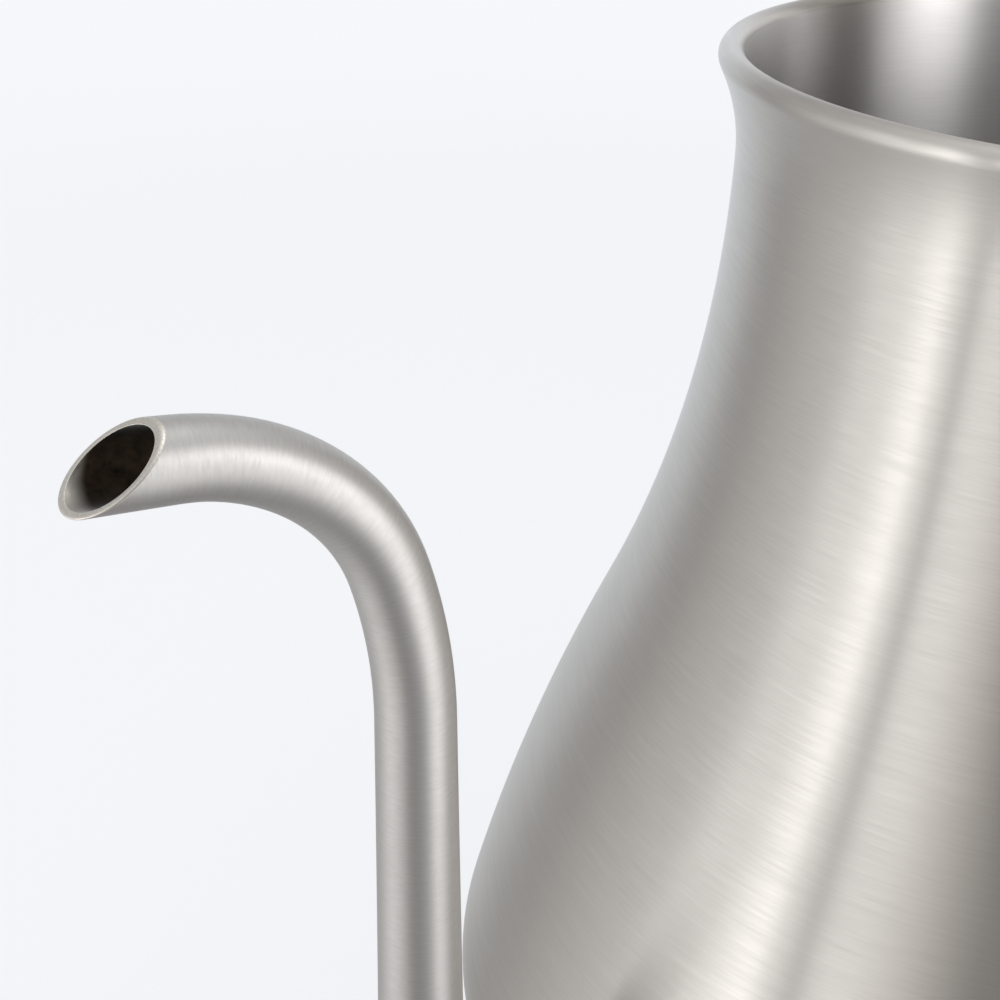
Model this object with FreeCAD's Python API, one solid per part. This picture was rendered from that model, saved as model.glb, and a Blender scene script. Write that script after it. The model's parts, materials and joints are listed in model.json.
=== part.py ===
"""Gooseneck kettle with a hinged lid, millimetres.

The kettle stands on z = 0 with its axis on Z, the spout along -X and the handle along +X.
The lid stands open against its stop; lid pieces are drawn shut and then swung open together.
"""
import FreeCAD, Part
import math
import os

V = FreeCAD.Vector
UP = V(0, 0, 1)
SIDE = V(0, 1, 0)

# Vessel
RIM_Z = 150.0          # top of the lip
FLOOR_Z = 5.0          # underside of the floor
NECK_R = 43.0          # outside of the neck where it is narrowest
BODY_R = 71.7          # outside of the belly where it is widest
CORNER_R = 18.0        # rounding between belly and floor
WALL = 0.8             # vessel sheet
LIP_R = 1.45           # rounded edge of the lip
LIP_OUT = 2.95         # how far the lip stands out from the neck
NECK_DROP = 13.0       # from the rim down to the narrowest point
SEAM_DEG = 30.0        # place of the floor weld on the corner, below the widest point

# Spout
RISER_GAP = 15.2       # foot of the spout riser beyond the belly, axis
RISER_LEAN = 1.4       # the riser leans out by this many degrees
ROOT_RISE = 19.5       # root axis above the floor
ROOT_R = 8.0           # root where it meets the belly
ELBOW_R = 15.9         # bend between root and riser
SLEEVE = 5.0           # length of tube held in the root
FOOT_R = 5.0           # tube at its lower end
TIP_R = 3.85           # tube before the tip
TIP_FLARE = 0.2        # widening at the tip
TUBE_WALL = 0.6
BEND_DROP = 59.1       # start of the gooseneck bend below the rim
EASY_BEND_R = 63.0     # first, easy part of the bend
EASY_BEND_DEG = 16.4
TIGHT_BEND_R = 23.7    # second, tight part
TIGHT_BEND_DEG = 67.9
TIP_LEN = 5.6          # straight end, to the middle of the cut
CUT_DEG = 41.3         # slope of the cut, lower lip forward
CUT_SKEW_DEG = 15.0    # the cut also turns a little to one side

# Handle
STRAP_T = 2.5
STRAP_W = 16.0
TOP_DROP = 11.0        # upper run of the strap below the rim
LOW_RISE = 27.0        # lower run of the strap above the floor
REACH = 41.0           # strap corner beyond the belly
LEAN = 6.0             # how far the lower corner comes back in
TOP_BEND_R = 32.0
LOW_BEND_R = 22.0
GRIP_WRAP = 26.0       # how far the grip follows the bends, degrees
GRIP_OUT = 7.0         # grip thickness outside and inside the strap
GRIP_IN = 8.0
GRIP_W = 22.0
GRIP_ROUND = 5.0
PLATE = 2.0            # bracket sheet
RIB_T = 2.4            # stiffening rib under a bracket's shelf
FOOT_W = 26.0          # bracket feet on the vessel
FOOT_TALL = 18.0
FOOT_ROUND = 4.0
RIVET_R = 2.0
RIVET_EDGE = 5.0       # sheet beyond the middle of a rivet
RIVET_PITCH = 9.0
GRIP_RIVET_R = 1.9
GRIP_SEAT = 1.2        # depth of the seats for the grip rivet heads
HEAD_PROUD = 0.2       # grip rivet heads above the grip

# Lid and hinge
LID_T = 0.8
LID_OVER = 0.8         # lid beyond the lip
BRIM = 15.75           # flat of the lid around the dome
DOME_H = 7.0
LAND_R = 8.0           # flat top of the dome
SKIRT_DEEP = 9.0
PIN_OUT = 6.2          # pin axis beyond the lid edge
PIN_R = 1.5
BARREL_R = 3.0
LEAF_T = 1.2
LEAF_W = 16.0
LEAF_ROUND = 3.0
LEAF_RIVET_R = 1.2
VENT_R = 1.5
EAR_T = 1.5
STOP_TALL = 12.5       # stop web above the pin axis
OPEN_DEG = 105.0
KNOB_R = 12.5
KNOB_TALL = 20.0
WASHER_T = 1.0
SCREW_R = 2.0

# Clearances
WELD = 0.05            # welded or seated pieces
FIT = 0.05             # pins and rivets in their holes, radial
LID_GAP = 0.3          # shut lid above the lip
SKIRT_GAP = 0.8        # skirt inside the neck, radial
EAR_GAP = 0.4          # barrel between the ears, each side
STOP_GAP = 0.1         # leaf before the stop

# Worked out from the sizes above
NECK_Z = RIM_Z - NECK_DROP
NECK_ARC = 1.09 * (RIM_Z - FLOOR_Z)
FLANK_ARC = 2.06 * (RIM_Z - FLOOR_Z)
CAP_R = BODY_R - CORNER_R - 2 * WALL
PORT_R = ROOT_R - 4 * TUBE_WALL
RISER_R = BODY_R + RISER_GAP
ROOT_Z = FLOOR_Z + ROOT_RISE
ELBOW_DEG = 90.0 - RISER_LEAN
TUBE_Z = ROOT_Z + ELBOW_R * (1 - math.cos(math.radians(ELBOW_DEG)))
BEND_Z = RIM_Z - BEND_DROP
STRAP_TOP = RIM_Z - TOP_DROP
STRAP_LOW = FLOOR_Z + LOW_RISE
LID_Z = RIM_Z + LID_GAP
LID_R = NECK_R + LIP_OUT + LID_OVER
DOME_R = LID_R - BRIM
SKIRT_R = NECK_R - WALL - SKIRT_GAP
FLANGE_R = DOME_R + 2.5 * LID_T
KNOB_Z = LID_Z + LID_T + DOME_H
PIN_X = LID_R + PIN_OUT
PIN_Z = LID_Z + LID_T + LEAF_T / 2
EAR_IN = LEAF_W / 2 + EAR_GAP
EAR_OUT = EAR_IN + EAR_T


def at(r, z, y=0.0):
    return V(r, y, z)


def polar(centre, radius, deg):
    a = math.radians(deg)
    return at(centre[0] + radius * math.cos(a), centre[1] + radius * math.sin(a))


def line(a, b):
    return Part.LineSegment(a, b).toShape()


def arc(centre, radius, deg_a, deg_b):
    """Arc in the XZ plane from one angle to the other, the short numeric way."""
    ends = [polar(centre, radius, d) for d in (deg_a, (deg_a + deg_b) / 2, deg_b)]
    return Part.Arc(*ends).toShape()


def face(edges):
    return Part.Face(Part.Wire(Part.__sortEdges__(edges)))


def lathe(edges):
    return face(edges).revolve(V(0, 0, 0), UP, 360)


def polygon(points):
    return Part.Face(Part.makePolygon(points + points[:1]))


def slab(points, half):
    """Flat outline in XZ made into a plate, equally thick on both sides of the middle plane."""
    return polygon([at(r, z, -half) for r, z in points]).extrude(V(0, 2 * half, 0))


def box(x0, x1, half, z0, z1):
    return Part.makeBox(x1 - x0, 2 * half, z1 - z0, V(x0, -half, z0))


def disc(radius, x, z0, z1, y=0.0):
    return Part.makeCylinder(radius, z1 - z0, V(x, y, z0))


def stud(x, y, z0, z1, shank_r, head_r):
    """Rivet standing along Z: shank from z0 to z1, domed head on top, flatter formed head below."""
    shank = disc(shank_r, x, z0, z1, y)
    low = disc(head_r, x, z0 - 0.55 * shank_r, z0, y)
    top = disc(head_r, x, z1, z1 + 0.75 * shank_r, y)
    top = top.makeFillet(0.45 * shank_r, [top.Edges[0]])
    return shank.fuse([low, top]).removeSplitter()


def studs(spots, z0, z1, shank_r, head_r):
    return Part.makeCompound([stud(x, y, z0, z1, shank_r, head_r) for x, y in spots])


# Vessel outline: lip, neck curve, flank and corner are tangent arcs.
neck_c = (NECK_R + NECK_ARC, NECK_Z)
corner_c = (BODY_R - CORNER_R, FLOOR_Z + CORNER_R)
lip_c = (NECK_R + LIP_OUT - LIP_R, RIM_Z - LIP_R)


def flank_centre():
    """Centre of the flank arc, which touches the neck arc outside and the corner arc inside."""
    far = NECK_ARC + FLANK_ARC
    near = FLANK_ARC - CORNER_R
    dx, dz = neck_c[0] - corner_c[0], neck_c[1] - corner_c[1]
    gap = math.hypot(dx, dz)
    along = (gap * gap + near * near - far * far) / (2 * gap)
    off = math.sqrt(near * near - along * along)
    ux, uz = dx / gap, dz / gap
    return (corner_c[0] + along * ux + off * -uz, corner_c[1] + along * uz + off * ux)


def low_flank_centre():
    """Of the two circles that touch both arcs, the one on the inside of the vessel."""
    first = flank_centre()
    dx, dz = neck_c[0] - corner_c[0], neck_c[1] - corner_c[1]
    gap2 = dx * dx + dz * dz
    t = ((first[0] - corner_c[0]) * dx + (first[1] - corner_c[1]) * dz) / gap2
    foot = (corner_c[0] + t * dx, corner_c[1] + t * dz)
    second = (2 * foot[0] - first[0], 2 * foot[1] - first[1])
    return min(first, second)


flank_c = low_flank_centre()
FLANK_DEG = math.degrees(math.atan2(neck_c[1] - flank_c[1], neck_c[0] - flank_c[0]))
MEET_DEG = math.degrees(math.atan2(corner_c[1] - flank_c[1], corner_c[0] - flank_c[0]))


def flare(inset):
    """Radius of the curve from the neck up to the lip edge, and the angle where it meets the lip."""
    dx = lip_c[0] - (NECK_R - inset)
    dz = lip_c[1] - NECK_Z
    edge = -LIP_R if inset > 0 else LIP_R
    radius = (dx * dx + dz * dz - LIP_R * LIP_R) / (2 * (dx + edge))
    deg = math.degrees(math.atan2(dz, dx - radius))
    return radius, deg


def wall_edges(inset, corner_end):
    """Vessel contour from the lip down to an angle on the corner, moved inwards by inset."""
    radius, deg = flare(max(inset, 0.0))
    centre = (NECK_R - max(inset, 0.0) + radius, NECK_Z)
    shift = min(inset, 0.0)
    return [
        arc(centre, radius + shift, deg, 180),
        arc(neck_c, NECK_ARC + inset, 180, 180 + FLANK_DEG),
        arc(flank_c, FLANK_ARC - inset, FLANK_DEG, MEET_DEG),
        arc(corner_c, CORNER_R - inset, MEET_DEG, corner_end),
    ]


def vessel_block(grow):
    """The vessel filled solid and grown outwards, for trimming what is welded to it."""
    edges = wall_edges(-grow, -90)
    top = edges[0].Vertexes[0].Point
    if abs(top.z - NECK_Z) < 1e-6:
        top = edges[0].Vertexes[1].Point
    low = at(corner_c[0], FLOOR_Z - grow)
    edges += [line(low, at(0, low.z)), line(at(0, low.z), at(0, top.z)), line(at(0, top.z), top)]
    return lathe(edges)


def body_shell():
    out_r, out_deg = flare(0.0)
    in_r, in_deg = flare(WALL)
    seam = [polar(corner_c, CORNER_R - t, -SEAM_DEG) for t in (0.0, WALL)]
    edges = wall_edges(0.0, -SEAM_DEG) + wall_edges(WALL, -SEAM_DEG)
    edges += [arc(lip_c, LIP_R, out_deg - 180, in_deg), line(*seam)]
    shell = lathe(edges)
    port = Part.makeCylinder(PORT_R, BODY_R, V(-1.2 * BODY_R, 0, ROOT_Z), V(1, 0, 0))
    return shell.cut(port)


def bottom_pan():
    inner = CORNER_R - WALL
    rim = [polar(corner_c, r, -SEAM_DEG) for r in (CORNER_R, inner)]
    low, high = at(corner_c[0], FLOOR_Z), at(corner_c[0], FLOOR_Z + WALL)
    edges = [arc(corner_c, CORNER_R, -SEAM_DEG, -90), arc(corner_c, inner, -SEAM_DEG, -90)]
    edges += [line(*rim), line(low, at(0, FLOOR_Z)), line(high, at(0, FLOOR_Z + WALL))]
    edges.append(line(at(0, FLOOR_Z), at(0, FLOOR_Z + WALL)))
    return lathe(edges)


def heat_spreader():
    return disc(CAP_R - WALL - FIT, 0, WALL, FLOOR_Z)


def base_cap():
    cup = disc(CAP_R, 0, 0, FLOOR_Z)
    low = [e for e in cup.Edges if e.BoundBox.ZMax < 1e-6]
    cup = cup.makeFillet(0.3 * FLOOR_Z, low)
    return cup.cut(disc(CAP_R - WALL, 0, WALL, 2 * FLOOR_Z))


def ring(r, z, deg, radius):
    """Round section of the spout at distance r, facing along a direction deg above level."""
    hoop = Part.Wire(Part.makeCircle(radius))
    hoop.Placement = FreeCAD.Placement(V(-r, 0, z), FreeCAD.Rotation(SIDE, deg - 90))
    return hoop


def hose(stations, less=0.0):
    return Part.makeLoft([ring(r, z, d, rad - less) for r, z, d, rad in stations], True)


def root_stations(thick):
    """Root elbow from inside the belly to the sleeve; thick is the wall at the sleeve."""
    top = FOOT_R + FIT + thick
    full = ROOT_R - TUBE_WALL + thick
    start = BODY_R - ROOT_R
    turn = math.radians(ELBOW_DEG)
    bend = RISER_R - ELBOW_R * math.sin(turn)
    span = bend - start + ELBOW_R * turn
    out = []
    for i in range(4):
        s = (bend - start) * i / 4
        out.append((start + s, ROOT_Z, 0.0, s))
    for i in range(9):
        a = turn * i / 8
        r = bend + ELBOW_R * math.sin(a)
        z = ROOT_Z + ELBOW_R * (1 - math.cos(a))
        out.append((r, z, math.degrees(a), bend - start + ELBOW_R * a))
    for share in (0.5, 1.0):
        rise = SLEEVE * share
        out.append((RISER_R + rise * math.cos(turn), TUBE_Z + rise * math.sin(turn), ELBOW_DEG, span))
    return [(r, z, a, top + (full - top) * (1 - s / span) ** 1.5) for r, z, a, s in out]


def spout_root():
    wall = hose(root_stations(TUBE_WALL)).cut(hose(root_stations(0.0)))
    return wall.cut(vessel_block(WELD)).Solids[0]


def riser_length():
    return (BEND_Z - TUBE_Z) / math.sin(math.radians(ELBOW_DEG))


def spout_at(s):
    """Place and direction on the gooseneck, s along it from the lower end of the tube."""
    rise = riser_length()
    easy = EASY_BEND_R * math.radians(EASY_BEND_DEG)
    tight = TIGHT_BEND_R * math.radians(TIGHT_BEND_DEG)
    a = math.radians(ELBOW_DEG)
    r = RISER_R + min(s, rise) * math.cos(a)
    z = TUBE_Z + min(s, rise) * math.sin(a)
    for start, length, radius in ((rise, easy, EASY_BEND_R), (rise + easy, tight, TIGHT_BEND_R)):
        b = a - min(max(s - start, 0.0), length) / radius
        r += radius * (math.sin(a) - math.sin(b))
        z += radius * (math.cos(b) - math.cos(a))
        a = b
    rest = max(s - rise - easy - tight, 0.0)
    return r + rest * math.cos(a), z + rest * math.sin(a), math.degrees(a)


def tube_length():
    bends = math.radians(EASY_BEND_DEG) * EASY_BEND_R + math.radians(TIGHT_BEND_DEG) * TIGHT_BEND_R
    return riser_length() + bends + TIP_LEN


def tube_stations(reach):
    """Sections of the gooseneck, tapering upwards and opening a little at the tip."""
    full = tube_length()
    count = 24
    out = []
    for i in range(count + 1):
        s = reach * i / count
        taper = max(1 - s / full, 0.0) ** 1.6
        flare_in = max(s / full - 0.92, 0.0) / 0.08
        out.append(spout_at(s) + (TIP_R + (FOOT_R - TIP_R) * taper + TIP_FLARE * flare_in,))
    return out


def spout_tube():
    full = tube_length()
    stations = tube_stations(full + 2.2 * TIP_R)
    tube = hose(stations).cut(hose(stations, TUBE_WALL))
    r, z, deg = spout_at(full)
    a, cut, skew = (math.radians(d) for d in (deg, CUT_DEG, CUT_SKEW_DEG))
    axis = V(-math.cos(a), 0, math.sin(a))
    down = V(-math.cos(cut), 0, -math.sin(cut))
    across = V(0, -math.cos(skew), 0) - axis * math.sin(skew)
    normal = down.cross(across)
    normal.normalize()
    if normal.dot(axis) < 0:
        normal = normal * -1
    size = 14 * TIP_R
    block = Part.makeBox(size, size, size, V(-size / 2, -size / 2, 0))
    block.Placement = FreeCAD.Placement(V(-r, 0, z), FreeCAD.Rotation(UP, normal))
    return tube.cut(block).Solids[0]


# Handle: the strap follows a bent path in the XZ plane.
def strap_ends():
    """Where the upper and the lower run of the strap stop short of the vessel."""
    return NECK_R + 1.25 * PLATE, BODY_R + PLATE


def strap_bends():
    """Centres of the two bends, and the direction square to the straight run in degrees."""
    tall = STRAP_TOP - STRAP_LOW
    tilt = math.atan2(LEAN, tall)

    def run_x(z):
        return BODY_R + REACH - LEAN * (STRAP_TOP - z) / tall

    high, low = STRAP_TOP - TOP_BEND_R, STRAP_LOW + LOW_BEND_R
    top = (run_x(high) - TOP_BEND_R / math.cos(tilt), high)
    bottom = (run_x(low) - LOW_BEND_R / math.cos(tilt), low)
    return top, bottom, -math.degrees(tilt)


def path_edges(offset):
    """Strap path moved outwards by offset: three straight runs joined by tangent arcs."""
    c1, c2, out = strap_bends()
    r1, r2 = TOP_BEND_R + offset, LOW_BEND_R + offset
    start, end = strap_ends()
    high, low = STRAP_TOP + offset, STRAP_LOW - offset
    return [line(at(start, high), at(c1[0], high)), arc(c1, r1, 90, out),
            line(polar(c1, r1, out), polar(c2, r2, out)), arc(c2, r2, out, -90),
            line(at(c2[0], low), at(end, low))]


def band(near, far, half):
    """Solid between two offsets of the strap path, equally wide on both sides."""
    start, end = strap_ends()
    edges = path_edges(near) + path_edges(far)
    edges.append(line(at(start, STRAP_TOP + near), at(start, STRAP_TOP + far)))
    edges.append(line(at(end, STRAP_LOW - near), at(end, STRAP_LOW - far)))
    flat = face(edges)
    flat.translate(V(0, -half, 0))
    return flat.extrude(V(0, 2 * half, 0))


def grip_window():
    """Wedge that keeps the grip to the straight run and the nearest part of each bend."""
    c1, c2, _ = strap_bends()
    high = polar(c1, 3 * TOP_BEND_R, GRIP_WRAP)
    low = polar(c2, 3 * LOW_BEND_R, -GRIP_WRAP)
    return slab([c1, (high.x, high.z), (low.x, low.z), c2], GRIP_W)


def grip_rivet_places():
    """Two places on the straight run, with the outward direction of the strap there."""
    c1, c2, out = strap_bends()
    high, low = polar(c1, TOP_BEND_R, out), polar(c2, LOW_BEND_R, out)
    a = math.radians(out)
    return [low + (high - low) * share for share in (0.12, 0.88)], V(math.cos(a), 0, math.sin(a))


def grip_holes(radius):
    spots, normal = grip_rivet_places()
    reach = STRAP_T + GRIP_OUT + GRIP_IN
    return [Part.makeCylinder(radius, 2 * reach, spot - normal * reach, normal) for spot in spots]


def rivet_heads(radius, tall):
    """Discs for the grip rivet heads and their seats, on both faces of the grip."""
    spots, normal = grip_rivet_places()
    outer = STRAP_T / 2 + GRIP_OUT - GRIP_SEAT
    inner = STRAP_T / 2 + GRIP_IN - GRIP_SEAT
    out = []
    for spot in spots:
        out.append(Part.makeCylinder(radius, tall, spot + normal * outer, normal))
        out.append(Part.makeCylinder(radius, tall, spot - normal * inner, normal * -1))
    return out


def upper_spots():
    """Rivets in line along the upper run, behind the stop web."""
    first = stop_x() + EAR_T + RIVET_EDGE
    return [(first, 0.0), (first + RIVET_PITCH, 0.0)]


def lower_spots():
    """Rivets side by side on the short lower run."""
    x = strap_ends()[1] + RIVET_EDGE
    return [(x, -RIVET_PITCH / 2), (x, RIVET_PITCH / 2)]


def rivet_holes(spots, z):
    return [disc(RIVET_R + FIT, x, z - 2 * PLATE, z + 2 * PLATE, y) for x, y in spots]


def handle_strap():
    strap = band(-STRAP_T / 2, STRAP_T / 2, STRAP_W / 2)
    holes = grip_holes(GRIP_RIVET_R + FIT) + rivet_holes(upper_spots(), STRAP_TOP)
    return strap.cut(holes + rivet_holes(lower_spots(), STRAP_LOW))


def grip(near, far):
    """One half of the grip, its free edges rounded, with the strap let into its flat side."""
    full = band(min(near, far), max(near, far), GRIP_W / 2).common(grip_window())
    mid = path_edges(near)
    keep = Part.Wire(Part.__sortEdges__(mid))
    rounded = []
    for edge in full.Edges:
        centre = edge.CenterOfMass
        flat_spot = at(centre.x, centre.z)
        if keep.distToShape(Part.Vertex(flat_spot))[0] > abs(far - near) * 0.9:
            rounded.append(edge)
    full = full.makeFillet(GRIP_ROUND, [e for e in rounded if abs(e.CenterOfMass.y) > 1])
    strap = band(-STRAP_T / 2 - FIT, STRAP_T / 2 + FIT, STRAP_W / 2 + FIT)
    seats = rivet_heads(1.9 * GRIP_RIVET_R, GRIP_OUT)
    return full.cut([strap] + grip_holes(GRIP_RIVET_R + FIT) + seats)


def grip_outer():
    return grip(0.0, STRAP_T / 2 + GRIP_OUT)


def grip_inner():
    return grip(0.0, -STRAP_T / 2 - GRIP_IN)


def grip_rivets():
    spots, normal = grip_rivet_places()
    span = STRAP_T + GRIP_OUT + GRIP_IN - 2 * GRIP_SEAT
    foot = normal * -(STRAP_T / 2 + GRIP_IN - GRIP_SEAT)
    heads = rivet_heads(1.9 * GRIP_RIVET_R - FIT, GRIP_SEAT + HEAD_PROUD)
    out = []
    for i, spot in enumerate(spots):
        shank = Part.makeCylinder(GRIP_RIVET_R, span, spot + foot, normal)
        out.append(shank.fuse(heads[2 * i:2 * i + 2]).removeSplitter())
    return Part.makeCompound(out)


def bracket_foot(z):
    """Plate shaped to the vessel on the handle side, centred at height z."""
    pad = box(0, 2 * BODY_R, FOOT_W / 2, z - FOOT_TALL / 2, z + FOOT_TALL / 2)
    pad = pad.makeFillet(FOOT_ROUND, [e for e in pad.Edges if abs(e.BoundBox.XLength - 2 * BODY_R) < 1e-6])
    return vessel_block(WELD + PLATE).common(pad)


def upper_bracket():
    shelf_top = STRAP_TOP - STRAP_T / 2
    near, far = upper_spots()[0][0] - RIVET_EDGE, upper_spots()[1][0] + RIVET_EDGE
    shelf = box(0, far, STRAP_W / 2, shelf_top - PLATE, shelf_top)
    rib = slab([(0, shelf_top - 0.5 * PLATE), (near, shelf_top - 0.5 * PLATE),
                (NECK_R, shelf_top - FOOT_TALL), (0, shelf_top - FOOT_TALL)], RIB_T / 2)
    foot = bracket_foot(shelf_top - FOOT_TALL / 2)
    solid = foot.fuse([shelf, rib]).cut(vessel_block(WELD)).removeSplitter()
    return solid.cut(rivet_holes(upper_spots(), shelf_top)).Solids[0]


def lower_bracket():
    shelf_low = STRAP_LOW + STRAP_T / 2
    far = lower_spots()[0][0] + RIVET_EDGE
    shelf = box(0, far, STRAP_W / 2, shelf_low, shelf_low + PLATE)
    high = shelf_low + 0.6 * FOOT_TALL
    rib = slab([(0, shelf_low + 0.5 * PLATE), (far - PLATE, shelf_low + 0.5 * PLATE),
                (BODY_R - PLATE, high), (0, high)], RIB_T / 2)
    foot = bracket_foot(shelf_low)
    solid = foot.fuse([shelf, rib]).cut(vessel_block(WELD)).removeSplitter()
    return solid.cut(rivet_holes(lower_spots(), shelf_low)).Solids[0]


def upper_rivets():
    low = STRAP_TOP - STRAP_T / 2 - PLATE
    high = STRAP_TOP + STRAP_T / 2 + EAR_T
    return studs(upper_spots(), low, high, RIVET_R, 1.75 * RIVET_R)


def lower_rivets():
    low = STRAP_LOW - STRAP_T / 2
    high = STRAP_LOW + STRAP_T / 2 + PLATE
    return studs(lower_spots(), low, high, RIVET_R, 1.5 * RIVET_R)


# Hinge and lid
def stop_x():
    """Front face of the stop web, just behind the leaf when the lid is open."""
    a = math.radians(OPEN_DEG)
    half = LEAF_T / 2
    s = (STOP_TALL - half * math.cos(a)) / math.sin(a)
    return PIN_X - s * math.cos(a) + half * math.sin(a) + STOP_GAP


def hinge_bracket():
    base = STRAP_TOP + STRAP_T / 2
    front = PIN_X - BARREL_R - EAR_T
    back = upper_spots()[1][0] + RIVET_EDGE
    web = stop_x()
    solid = box(front, back, EAR_OUT, base, base + EAR_T)
    solid = solid.fuse(box(web, web + EAR_T, EAR_OUT, base, PIN_Z + STOP_TALL))
    ear = box(front, web + EAR_T, EAR_OUT, base, PIN_Z)
    cap = Part.makeCylinder(BARREL_R + EAR_T, 2 * EAR_OUT, V(PIN_X, -EAR_OUT, PIN_Z), SIDE)
    ears = ear.fuse(cap).cut(box(front - EAR_T, back, EAR_IN, base - EAR_T, PIN_Z + 3 * BARREL_R))
    solid = solid.fuse(ears).removeSplitter()
    bore = Part.makeCylinder(PIN_R + FIT / 2, 4 * EAR_OUT, V(PIN_X, -2 * EAR_OUT, PIN_Z), SIDE)
    solid = solid.cut(bore)
    return solid.cut(rivet_holes(upper_spots(), base)).Solids[0]


def hinge_pin():
    pin = Part.makeCylinder(PIN_R, 2 * EAR_OUT, V(PIN_X, -EAR_OUT, PIN_Z), SIDE)
    tall = 0.8 * PIN_R
    head = Part.makeCylinder(1.75 * PIN_R, tall, V(PIN_X, -EAR_OUT - tall, PIN_Z), SIDE)
    head = head.makeFillet(0.4 * tall, [e for e in head.Edges if e.BoundBox.YMax < -EAR_OUT - 0.9 * tall])
    tail = Part.makeCylinder(1.4 * PIN_R, 0.5 * PIN_R, V(PIN_X, EAR_OUT, PIN_Z), SIDE)
    return pin.fuse([head, tail]).removeSplitter()


def leaf_rivet_spots():
    """Rivets on the flat of the lid, between the dome and the wall of the skirt."""
    x = (FLANGE_R + SKIRT_R - LID_T) / 2
    return [(x, -0.31 * LEAF_W), (x, 0.31 * LEAF_W)]


def leaf_rivet_holes():
    low, high = LID_Z - 2 * LID_T, LID_Z + LID_T + 2 * LEAF_T
    return [disc(LEAF_RIVET_R + FIT, x, low, high, y) for x, y in leaf_rivet_spots()]


def lid_cover():
    crown = KNOB_Z
    half = (DOME_R + LAND_R) / 2
    bulge = LID_Z + LID_T + 0.68 * DOME_H

    def top(drop):
        rise = Part.Arc(at(DOME_R, LID_Z + LID_T - drop), at(half, bulge - drop), at(LAND_R, crown - drop))
        return [line(at(LID_R, LID_Z + LID_T - drop), at(DOME_R, LID_Z + LID_T - drop)), rise.toShape(),
                line(at(LAND_R, crown - drop), at(0, crown - drop))]

    ends = [line(at(LID_R, LID_Z), at(LID_R, LID_Z + LID_T)), line(at(0, crown - LID_T), at(0, crown))]
    cover = lathe(top(0) + top(LID_T) + ends)
    rim = [e for e in cover.Edges if e.BoundBox.XMax > LID_R - 0.01 and e.BoundBox.ZLength < 0.01]
    cover = cover.makeFillet(0.4 * LID_T, rim)
    holes = [disc(SCREW_R + FIT, 0, LID_Z, crown + LID_T), disc(VENT_R, -0.66 * DOME_R, LID_Z, crown)]
    return cover.cut(holes + leaf_rivet_holes())


def lid_skirt():
    thin = SKIRT_R - LID_T
    corners = [(FLANGE_R, LID_Z), (SKIRT_R, LID_Z), (SKIRT_R, LID_Z - SKIRT_DEEP),
               (thin, LID_Z - SKIRT_DEEP), (thin, LID_Z - LID_T), (FLANGE_R, LID_Z - LID_T)]
    skirt = polygon([at(r, z) for r, z in corners]).revolve(V(0, 0, 0), UP, 360)
    low = [e for e in skirt.Edges if e.BoundBox.ZMax < LID_Z - SKIRT_DEEP + 0.01]
    return skirt.makeFillet(0.4 * LID_T, low).cut(leaf_rivet_holes())


def lid_leaf():
    base = LID_Z + LID_T
    plate = box(FLANGE_R, PIN_X, LEAF_W / 2, base, base + LEAF_T)
    free = [e for e in plate.Edges if e.BoundBox.ZLength > 0.5 * LEAF_T and e.CenterOfMass.x < LID_R]
    plate = plate.makeFillet(LEAF_ROUND, free)
    barrel = Part.makeCylinder(BARREL_R, LEAF_W, V(PIN_X, -LEAF_W / 2, PIN_Z), SIDE)
    leaf = plate.fuse(barrel).removeSplitter()
    leaf = leaf.cut(Part.makeCylinder(PIN_R + FIT, 2 * LEAF_W, V(PIN_X, -LEAF_W, PIN_Z), SIDE))
    return leaf.cut(leaf_rivet_holes())


def leaf_rivets():
    low, high = LID_Z - LID_T, LID_Z + LID_T + LEAF_T
    return studs(leaf_rivet_spots(), low, high, LEAF_RIVET_R, 1.75 * LEAF_RIVET_R)


def knob_washer():
    bore = disc(SCREW_R + FIT, 0, KNOB_Z - WASHER_T, KNOB_Z + 2 * WASHER_T)
    return disc(0.94 * LAND_R, 0, KNOB_Z, KNOB_Z + WASHER_T).cut(bore)


def lid_knob():
    foot = KNOB_Z + WASHER_T
    top = foot + KNOB_TALL
    side = Part.BSplineCurve()
    side.interpolate([at(0.56 * KNOB_R, foot), at(0.46 * KNOB_R, foot + 0.22 * KNOB_TALL),
                      at(0.8 * KNOB_R, foot + 0.5 * KNOB_TALL), at(KNOB_R, foot + 0.76 * KNOB_TALL),
                      at(0.74 * KNOB_R, foot + 0.95 * KNOB_TALL), at(0.3 * KNOB_R, top)])
    edges = [side.toShape(), line(at(0.3 * KNOB_R, top), at(0, top)), line(at(0, top), at(0, foot)),
             line(at(0, foot), at(0.56 * KNOB_R, foot))]
    bore = 0.28 * KNOB_R + FIT
    return lathe(edges).cut(disc(bore, 0, KNOB_Z, foot + 0.55 * KNOB_TALL + FIT))


def knob_insert():
    foot = KNOB_Z + WASHER_T
    bush = disc(0.28 * KNOB_R, 0, foot, foot + 0.55 * KNOB_TALL)
    return bush.cut(disc(SCREW_R + FIT, 0, KNOB_Z, foot + 0.5 * KNOB_TALL))


def knob_screw():
    seat = KNOB_Z - LID_T
    head = disc(2 * SCREW_R, 0, seat - 1.2 * SCREW_R, seat)
    head = head.makeFillet(0.4 * SCREW_R, [e for e in head.Edges if e.BoundBox.ZMax < seat - SCREW_R])
    shank = disc(SCREW_R, 0, seat, KNOB_Z + WASHER_T + 0.45 * KNOB_TALL)
    low, high = seat - 2 * SCREW_R, seat - 0.7 * SCREW_R
    long, short = 1.3 * SCREW_R, 0.25 * SCREW_R
    cross = [box(-long, long, short, low, high), box(-short, short, long, low, high)]
    return head.fuse(shank).removeSplitter().cut(cross)


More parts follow.
